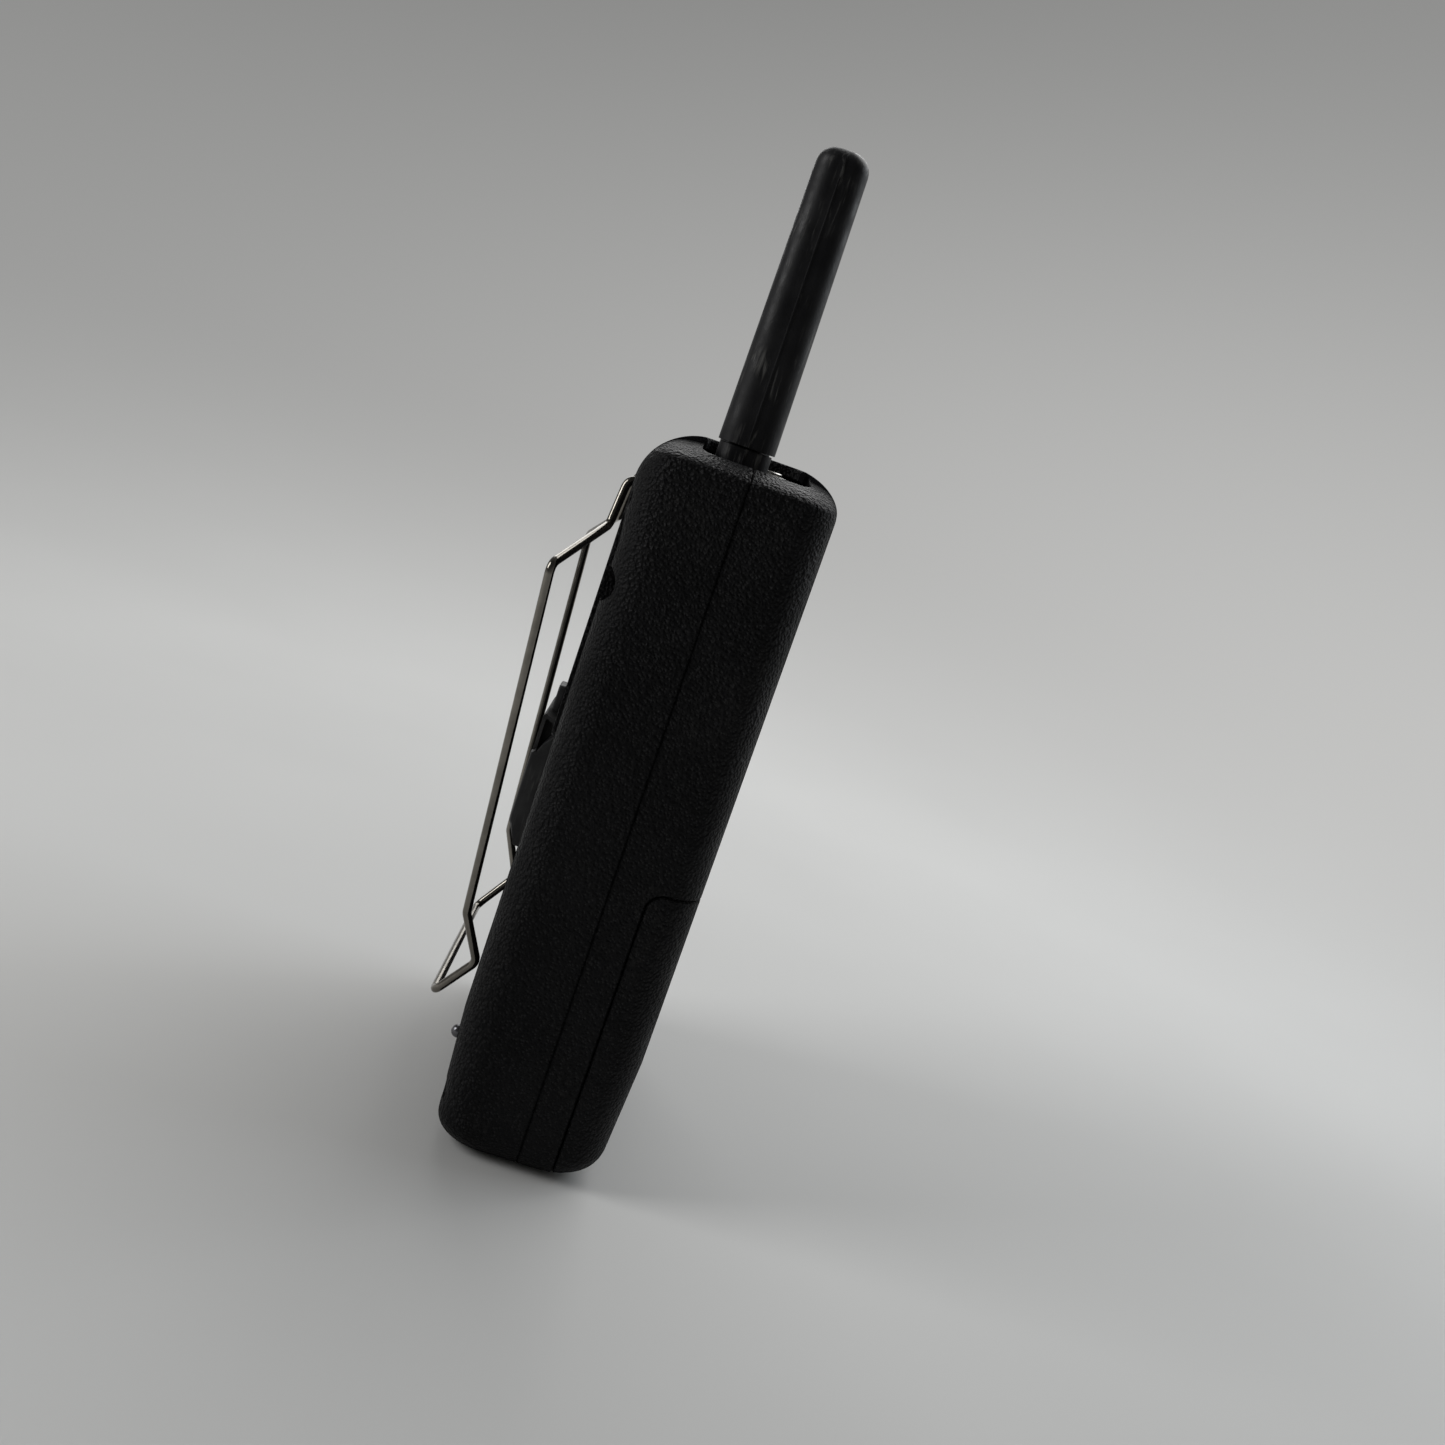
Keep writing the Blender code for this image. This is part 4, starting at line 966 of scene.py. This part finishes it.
def make_port_cover():
    """Rubber cover with a bevelled foot; its narrower head has finger pockets and a pull tab."""
    inner, outer = PORT_Y
    base, top = PORT_Z
    outline = [(inner, base), (inner + 1.3, base), (outer - 0.5, base + 3.8), (outer - 0.12, base + 4.5),
               (outer, base + 5.4), (outer, top - 0.6), (outer - 0.12, top - 0.25), (outer - 0.45, top),
               (inner, top - 1.2)]
    cover = side_solid("cover", outline, -PORT_HALF_WIDTH, PORT_HALF_WIDTH, 0.35)
    middle, half = span(PORT_JACK_Z)
    add(cover, drawn("cover_plug", "back", (0, middle), (6.4, half - 0.1), 0.8,
                     [(15.6, 0.4), (15.8, 0.1), (16.0, 0), (17.2, 0)]))
    middle, half = span((top - 4, PORT_TAB_Z))
    add(cover, drawn("cover_tab", "back", (0, middle), (3.0, half), 0.9,
                     [(18.3, 0.2), (18.45, 0.05), (18.6, 0), (19.4, 0), (19.55, 0.05), (19.7, 0.2)]))
    shoulder = [(inner - 1.5, top - 0.9), (inner - 1.5, top + 2), (outer + 2, top + 2),
                (outer + 2, top - 7.2), (outer - 0.1, top - 7.2), (outer - 0.35, top - 7.1),
                (outer - 0.7, top - 6.7)]
    pocket = [(inner + 0.7, top - 2.9), (inner + 1.2, top - 3.8), (outer - 1.0, top - 6.9),
              (outer - 0.7, top - 6.7), (outer - 0.7, top - 1.1), (outer - 0.9, top - 0.8),
              (inner + 0.7, top - 1.9)]
    for sign in (-1, 1):
        edge = sign * PORT_HEAD_HALF
        beyond = sign * (PORT_HALF_WIDTH + 2)
        deep = sign * (PORT_HEAD_HALF - 2.5)
        carve(cover, side_solid("cover_shoulder", shoulder, edge, beyond))
        carve(cover, side_solid("cover_pocket", pocket, deep, beyond))
    ribs = [drawn(f"cover_rib_{index}", "back", (0, 60.5 + 1.8 * index), (8.0, 0.45), 0.4,
                  [(outer - 0.35, 0.3), (outer, 0.0), (outer + 0.8, 0.0)]) for index in range(4)]
    carve(cover, *ribs)
    return dress(cover, COVER, "port_cover", ["port_cover"])


# ---- antenna
def make_antenna():
    """The tapered rubber sheath, with the mould's parting line standing up on both flanks."""
    base, top = 132.6, 183.6
    start = base + 1.2
    dome = 3.2
    levels = [base, base + 0.05, base + 0.3, start]
    levels += [start + (top - dome - start) * part / 12 for part in range(1, 13)]
    levels += [top - dome + dome * math.sin(math.radians(turn)) for turn in (12, 24, 36, 48, 60, 72, 82)]
    levels.append(top)
    rings = []
    for height in levels:
        part = max(height - start, 0) / (top - start)
        draw = round_in(top - height, dome) + (0.15 if height == base else 0.0)
        half_x = 5.5 + (4.9 - 5.5) * part - draw
        half_y = 5.1 + (4.55 - 5.1) * part - draw
        rings.append(flank_ring(height, half_x, half_y, min(half_x, half_y) * 0.72,
                                MOULD_RIDGE if draw < 1.0 else 0.0))
    sheath = skin("antenna", rings)
    carve(sheath, rod("sheath_bore", "top", ANTENNA, 3.4, 120, top - 4))
    dress(sheath, SHEATH, "case", ["antenna_sheath"], sharp=50)
    make_boot()


def make_boot():
    """The collar under the antenna: the same parting line, and a spigot into the sheath."""
    profile = [(126.4, 0.2), (126.6, 0), (132.2, 0), (132.35, 0.15)]
    boot = skin("boot", [flank_ring(height, 5.1 - inset, 4.7 - inset, 3.0 - inset, MOULD_RIDGE)
                         for height, inset in profile])
    add(boot, rod("boot_spigot", "top", ANTENNA, 3.25, 131.0, 134.0, 40))
    carve(boot, rod("boot_bore", "top", ANTENNA, 2.0, 110, 140))
    dress(boot, SHEATH, "case", ["antenna_collar"], sharp=50)


def flank_ring(height, half_x, half_y, radius, ridge):
    """A level rounded rectangle round the antenna's axis, with a thin ridge at each end on X."""
    middle = Vector((*ANTENNA, height))
    points = arc_ring(half_x, half_y, radius, 10)
    ring = []
    for index, point in enumerate(points):
        ring.append(middle + Vector((point.x, point.y, 0)))
        after = points[(index + 1) % len(points)]
        if abs(point.x - after.x) < 1e-6 and point.y * after.y < 0:
            sign = math.copysign(1, point.x)
            way = math.copysign(1, after.y)
            for offset, rise in ((-0.24, 0), (-0.11, ridge), (0.11, ridge), (0.24, 0)):
                ring.append(middle + Vector((point.x + sign * rise, offset * way, 0)))
    return ring


# ---- top controls
def make_knob():
    """Fluted volume knob with a pale pointer."""
    top, base, radius = 139.5, 132.1, 5.2
    profile = [(1.8, 137.8), (1.8, base), (radius - 0.25, base), (radius, base + 0.25),
               (radius, top - 1.3)]
    profile += [(radius - 0.9 + out, top - 0.9 + rise) for out, rise in arc(0.9, 0.9, (10, 30, 50, 70, 90))]
    profile += [(2.6, top), (2.2, top - 0.25), (0.5, top - 0.3)]

    def flutes(reach, angle, out):
        if reach < radius - 0.6 or not base + 0.3 < out < top - 0.3:
            return reach
        return reach - 0.24 * max(math.cos(24 * angle), 0.0) ** 2

    knob = turned("knob", "top", KNOB, profile, 192, flutes)
    carve(knob, drawn("pointer_slot", "top", (KNOB[0], KNOB[1] + 3.0), (0.35, 1.5), 0.3,
                      [(top - 0.35, 0), (top + 1, 0)]))
    dress(knob, RUBBER, "volume", ["volume_knob"], sharp=40)
    pointer = drawn("knob_pointer", "top", (KNOB[0], KNOB[1] + 3.0), (0.32, 1.46), 0.28,
                    [(top - 0.34, 0), (top - 0.12, 0), (top - 0.08, 0.05)])
    dress(pointer, INK, "volume")


def make_jack():
    jack = turned("headset_socket", "top", JACK,
                  [(1.8, 115.0), (3.6, 113.0), (3.6, 124.3), (2.5, 124.3), (2.5, 129.95), (2.35, 130.1),
                   (1.95, 130.1), (1.8, 129.95), (1.8, 115.2)], 40)
    dress(jack, NICKEL, "case", ["headset_jack"])

    steps = 144
    rings = []
    section = [(2.8, 126.4), (3.55, 126.4), (3.7, 126.6), (3.7, 129.2), (3.5, 129.5), (3.0, 129.5),
               (2.8, 129.3)]
    for step in range(steps):
        angle = 2 * math.pi * step / steps
        knurl = 0.1 * (0.5 + 0.5 * math.cos(36 * angle))
        reaches = [radius - knurl if radius > 3.5 else radius for radius, height in section]
        rings.append([Vector((JACK[0] + reach * math.cos(angle), JACK[1] + reach * math.sin(angle), height))
                      for reach, (radius, height) in zip(reaches, section)])
    nut = skin("socket_nut", rings, around=True)
    dress(nut, NICKEL, "case", ["jack_nut"])


# ---- front panel
def make_keys():
    for name, x in key_places():
        dish = [(16.9 - 0.16 * (1 - math.cos(math.radians(turn))), 0.45 + 1.7 * turn / 90)
                for turn in (20, 45, 70, 90)]
        profile = [(13.2, -1.0), (14.2, -1.0), (14.2, 0.0), (16.55, 0.0), (16.75, 0.06),
                   (16.87, 0.2), (16.9, 0.38)] + dish
        key = drawn(f"{name}_cap", "front", (x, KEY_Z), KEY_HALF, 1.3, profile, 6)
        dress(key, RUBBER, f"{name}_key", [f"{name}_key"])
        make_symbol(name, x)


def plate(name, points, low, high):
    """A flat outline in front of the keys, given as (across, up)."""
    rings = [[facing("front", u, v, w) for u, v in points] for w in (low, high)]
    return skin(name, rings)


def make_symbol(name, x):
    """One plain mark for each key: ring and bar, three bars, triangles, dot and arc."""
    low, high = 16.68, 16.86
    parts = []
    if name == "menu":
        parts += [bar(x, KEY_Z + rise, 1.3, -0.2, 0.2) for rise in (-0.9, 0.0, 0.9)]
    elif name in ("up", "down"):
        sign = 1 if name == "up" else -1
        parts.append([(x + u, KEY_Z + sign * v) for u, v in ((-1.3, -0.8), (1.3, -0.8), (0.0, 1.1))])
    elif name == "power":
        parts.append(arc_band(x, KEY_Z - 0.1, 1.0, 1.35, 130, 410))
        parts.append(bar(x, KEY_Z, 0.18, 0.1, 1.5))
    else:
        parts.append(arc_band(x - 1.0, KEY_Z, 0.0, 0.45, 0, 359))
        parts.append(arc_band(x - 1.0, KEY_Z, 1.1, 1.45, -50, 50))
        parts.append(arc_band(x - 1.0, KEY_Z, 2.0, 2.35, -50, 50))
    plates = [plate(f"{name}_symbol_{index}", outline, low, high)
              for index, outline in enumerate(parts)]
    symbol = merged(plates)
    symbol.name = f"{name}_symbol"
    dress(symbol, INK, f"{name}_key")


def bar(x, z, half, low, high):
    """Outline of a bar, from low to high over z."""
    return [(x - half, z + low), (x + half, z + low), (x + half, z + high), (x - half, z + high)]


def arc_band(x, z, inner, outer, start, end, steps=20):
    """Outline of a bent bar, or of a disc where inner is 0."""
    turns = [start + (end - start) * step / steps for step in range(steps + 1)]
    band = arc(outer, outer, turns)
    if inner > 0:
        band += arc(inner, inner, reversed(turns))
    return [(x + across, z + rise) for across, rise in band]


def make_display():
    middle, half = span(DISPLAY_SPAN)
    window = drawn("window", "front", (0, middle), (DISPLAY_HALF_WIDTH, half), 2.0,
                   [(15.3, 0.1), (15.4, 0), (16.1, 0), (16.28, 0.07), (16.38, 0.22), (16.4, 0.45)], 10)
    dress(window, WINDOW, "case", ["display_window"])
    mask = drawn("window_mask", "front", (0, middle), (DISPLAY_HALF_WIDTH - 0.3, half - 0.3), 1.8,
                 [(15.08, 0), (15.22, 0)], 10)
    carve(mask, drawn("mask_opening", "front", (0, 110.8), (19.0, 7.4), 1.2, [(14, 0), (16, 0)]))
    dress(mask, PRINT, "case")
    module = drawn("display_unit", "front", (0, 110.4), (25.0, 12.6), 0.6, [(11.0, 0), (13.6, 0),
                                                                             (13.7, 0.1)])
    dress(module, INNER, "case", ["display_module"])
    panel = drawn("display_panel", "front", (0, 110.6), (21.0, 8.3), 0.3,
                  [(13.75, 0), (14.12, 0), (14.15, 0.03)])
    dress(panel, PANEL, "case")
    make_segments()


def make_segments():
    """Two idle seven-segment figures, a row of level bars and a cell outline on the panel."""
    bars = []
    for digit in (-4.2, 4.2):
        bars += [(digit, 110.6 + rise, 1.9, 0.38) for rise in (4.2, 0, -4.2)]
        bars += [(digit + across, 110.6 + rise, 0.38, 1.7) for rise in (2.1, -2.1)
                 for across in (-2.35, 2.35)]
    for step in range(5):
        bars.append((-17.0 + 1.3 * step, 106.6 + 0.3 * step, 0.42, 0.5 + 0.3 * step))
    bars += [(14.5, 114.4, 2.6, 0.18), (14.5, 117.0, 2.6, 0.18), (11.9, 115.7, 0.18, 1.5),
             (17.1, 115.7, 0.18, 1.5)]
    plates = [drawn(f"segment_{index}", "front", (u, v), (wide, tall), 0.12, [(14.17, 0), (14.22, 0)], 2)
              for index, (u, v, wide, tall) in enumerate(bars)]
    segments = merged(plates)
    segments.name = "display_segments"
    dress(segments, SEGMENT, "case")


def make_lens():
    lens = turned("led_lens", "front", LED,
                  [(2.5, 13.2), (2.5, 14.2), (1.5, 14.2), (1.5, 16.45), (1.35, 16.62), (1.0, 16.74),
                   (0.5, 16.8)], 32)
    dress(lens, LENS, "case", ["status_lens"])


# ---- side button
def make_ptt():
    """Rubber talk button with raised ribs."""
    profile = [(35.4, -0.7), (36.5, -0.7), (36.5, 0.0), (39.4, 0.0), (39.8, 0.12), (40.02, 0.4),
               (40.1, 0.8), (40.12, 1.3)]
    button = drawn("talk_button", "right", PTT_CENTRE, PTT_HALF, 1.6, profile)
    ribs = [drawn(f"talk_rib_{index}", "right", (PTT_CENTRE[0], PTT_CENTRE[1] + 2.4 * (index - 2)),
                  (1.9, 0.45), 0.4, [(39.5, 0), (40.25, 0), (40.37, 0.1), (40.4, 0.25)], 5)
            for index in range(5)]
    add(button, *ribs)
    dress(button, RUBBER, "ptt_button", ["ptt_button"])


# ---- battery bay
def make_cells():
    """Four plain cells: steel case in a sleeve, a crimped ring and a nub."""
    low, high = CELL_SPAN
    for index in range(4):
        x = (index - 1.5) * CELL_PITCH
        up = index % 2 == 1
        profile = [(2.0, 0.0), (6.3, 0.0), (6.6, 0.15), (6.75, 0.45), (7.0, 0.6), (7.0, 48.4),
                   (6.75, 48.6), (6.5, 48.95), (6.0, 49.0), (3.4, 48.85), (2.75, 48.9), (2.75, 49.7),
                   (2.5, 49.95), (2.0, 50.0)]
        placed = [(radius, low + out if up else high - out) for radius, out in profile]
        cell = turned(f"cell_{index + 1}", "top", (x, CELL_Y), placed, 48)
        dress(cell, SLEEVE, "case", [f"battery_cell_{index + 1}"])
        cell.data.materials.append(NICKEL)
        ends = ((low + 0.55, high - 1.45) if up else (low + 1.45, high - 0.55))
        for polygon in cell.data.polygons:
            if not ends[0] * MM < polygon.center.z < ends[1] * MM:
                polygon.material_index = 1


KEPT_LOOKS = {
    "battery_tray": INNER, "accessory_jack": INNER, "ptt_switch": INNER, "antenna_core": BRASS,
    "antenna_nut": BRASS, "antenna_coil": BRASS, "contact_plate": NICKEL, "contact_spring": NICKEL,
    "keypad_membrane": RUBBER, "main_board": BOARD, "rf_board": BOARD, "rf_shield": NICKEL,
    "microphone": DARK, "speaker_cloth": CLOTH, "speaker_cone": CLOTH, "speaker_frame": DARK,
    "speaker_magnet": DARK, "volume_pot": DARK, "volume_shaft": DARK,
}


def dress_kept_nodes():
    """Give each CAD node that stays its own material, and break its sharp edges where it is seen."""
    for name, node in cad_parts.items():
        if node.hide_render:
            continue
        found = [look for key, look in KEPT_LOOKS.items() if name.startswith(key)]
        node.data.materials.clear()
        node.data.materials.append(found[0] if found else INNER)
        if name in ("battery_tray", "accessory_jack", "rf_shield"):
            bevel = node.modifiers.new("soften", "BEVEL")
            bevel.width = 0.12 * MM
            bevel.segments = 2
            bevel.limit_method = "ANGLE"
            bevel.angle_limit = math.radians(50)


# ---- studio
def make_studio():
    """A pale floor that sweeps up into a dome, so that no edge of it shows."""
    profile = [(0.5, 0.0), (300.0, 0.0)]
    profile += [(300 + out, 500 + up) for out, up in arc(500, 500, range(-84, 1, 6))]
    profile += [(out, 500 + up) for out, up in arc(800, 700, range(6, 90, 6))]
    shape = bmesh.new()
    steps = 96
    levels = []
    for radius, height in profile:
        levels.append([shape.verts.new((radius * math.cos(2 * math.pi * step / steps),
                                        radius * math.sin(2 * math.pi * step / steps), height))
                       for step in range(steps)])
    for lower, upper in zip(levels, levels[1:]):
        for index in range(steps):
            after = (index + 1) % steps
            shape.faces.new((lower[index], upper[index], upper[after], lower[after]))
    shape.faces.new(levels[0])
    sweep = mesh_object("studio_sweep", shape)
    sweep.data.shade_smooth()
    sweep.data.materials.append(STUDIO)


def area_light(name, place, target, size, power, colour=(1, 1, 1)):
    light = bpy.data.lights.new(name, "AREA")
    light.shape = "RECTANGLE"
    light.size, light.size_y = size
    light.energy = power
    light.color = colour
    item = add_object(name, light)
    item.location = place
    item.rotation_euler = (Vector(target) - Vector(place)).to_track_quat("-Z", "Y").to_euler()
    return item


def make_lights():
    area_light("top_softbox", (0.42, -0.24, 0.62), (0.06, 0, 0), (0.5, 0.5), 2.0)
    area_light("back_softbox", (-0.16, 0.50, 0.34), (0, 0, 0.07), (0.25, 0.35), 1.6)
    area_light("front_softbox", (0.22, -0.55, 0.42), (0, 0, 0.08), (0.4, 0.4), 1.2, (0.90, 0.95, 1.0))
    area_light("right_softbox", (0.60, 0.10, 0.45), (0, 0, 0.08), (0.4, 0.4), 1.2)
    bpy.context.scene.view_settings.view_transform = "Standard"


CAMERA_PLACE = (-0.27403, 0.00697, 0.13250)
CAMERA_AIM = (0.98100, -0.06842, -0.18152)
CAMERA_LEAN = 19.435


def make_camera():
    """The photograph's point of view: beside the radio's left flank, a little above, leaning."""
    data = bpy.data.cameras.new("camera")
    data.lens = 36.0
    data.sensor_width = 36.0
    data.clip_start = 0.01
    camera = add_object("camera", data)
    out = Vector(CAMERA_AIM).normalized()
    lean = math.radians(CAMERA_LEAN)
    level = out.cross(Vector((0, 0, 1))).normalized()
    above = level.cross(out)
    right = level * math.cos(lean) + above * math.sin(lean)
    up = right.cross(out)
    camera.matrix_world = Matrix.Translation(CAMERA_PLACE) @ Matrix((
        (right.x, up.x, -out.x, 0), (right.y, up.y, -out.y, 0), (right.z, up.z, -out.z, 0),
        (0, 0, 0, 1)))
    bpy.context.scene.camera = camera


make_camera()
make_rear_case()
make_front_case()
make_battery_door()
make_control_well()
make_screws()
make_charge_contacts()
make_belt_clip()
make_clip_bracket()
make_port_cover()
make_antenna()
make_knob()
make_jack()
make_keys()
make_display()
make_lens()
make_ptt()
make_cells()
dress_kept_nodes()
make_studio()
make_lights()
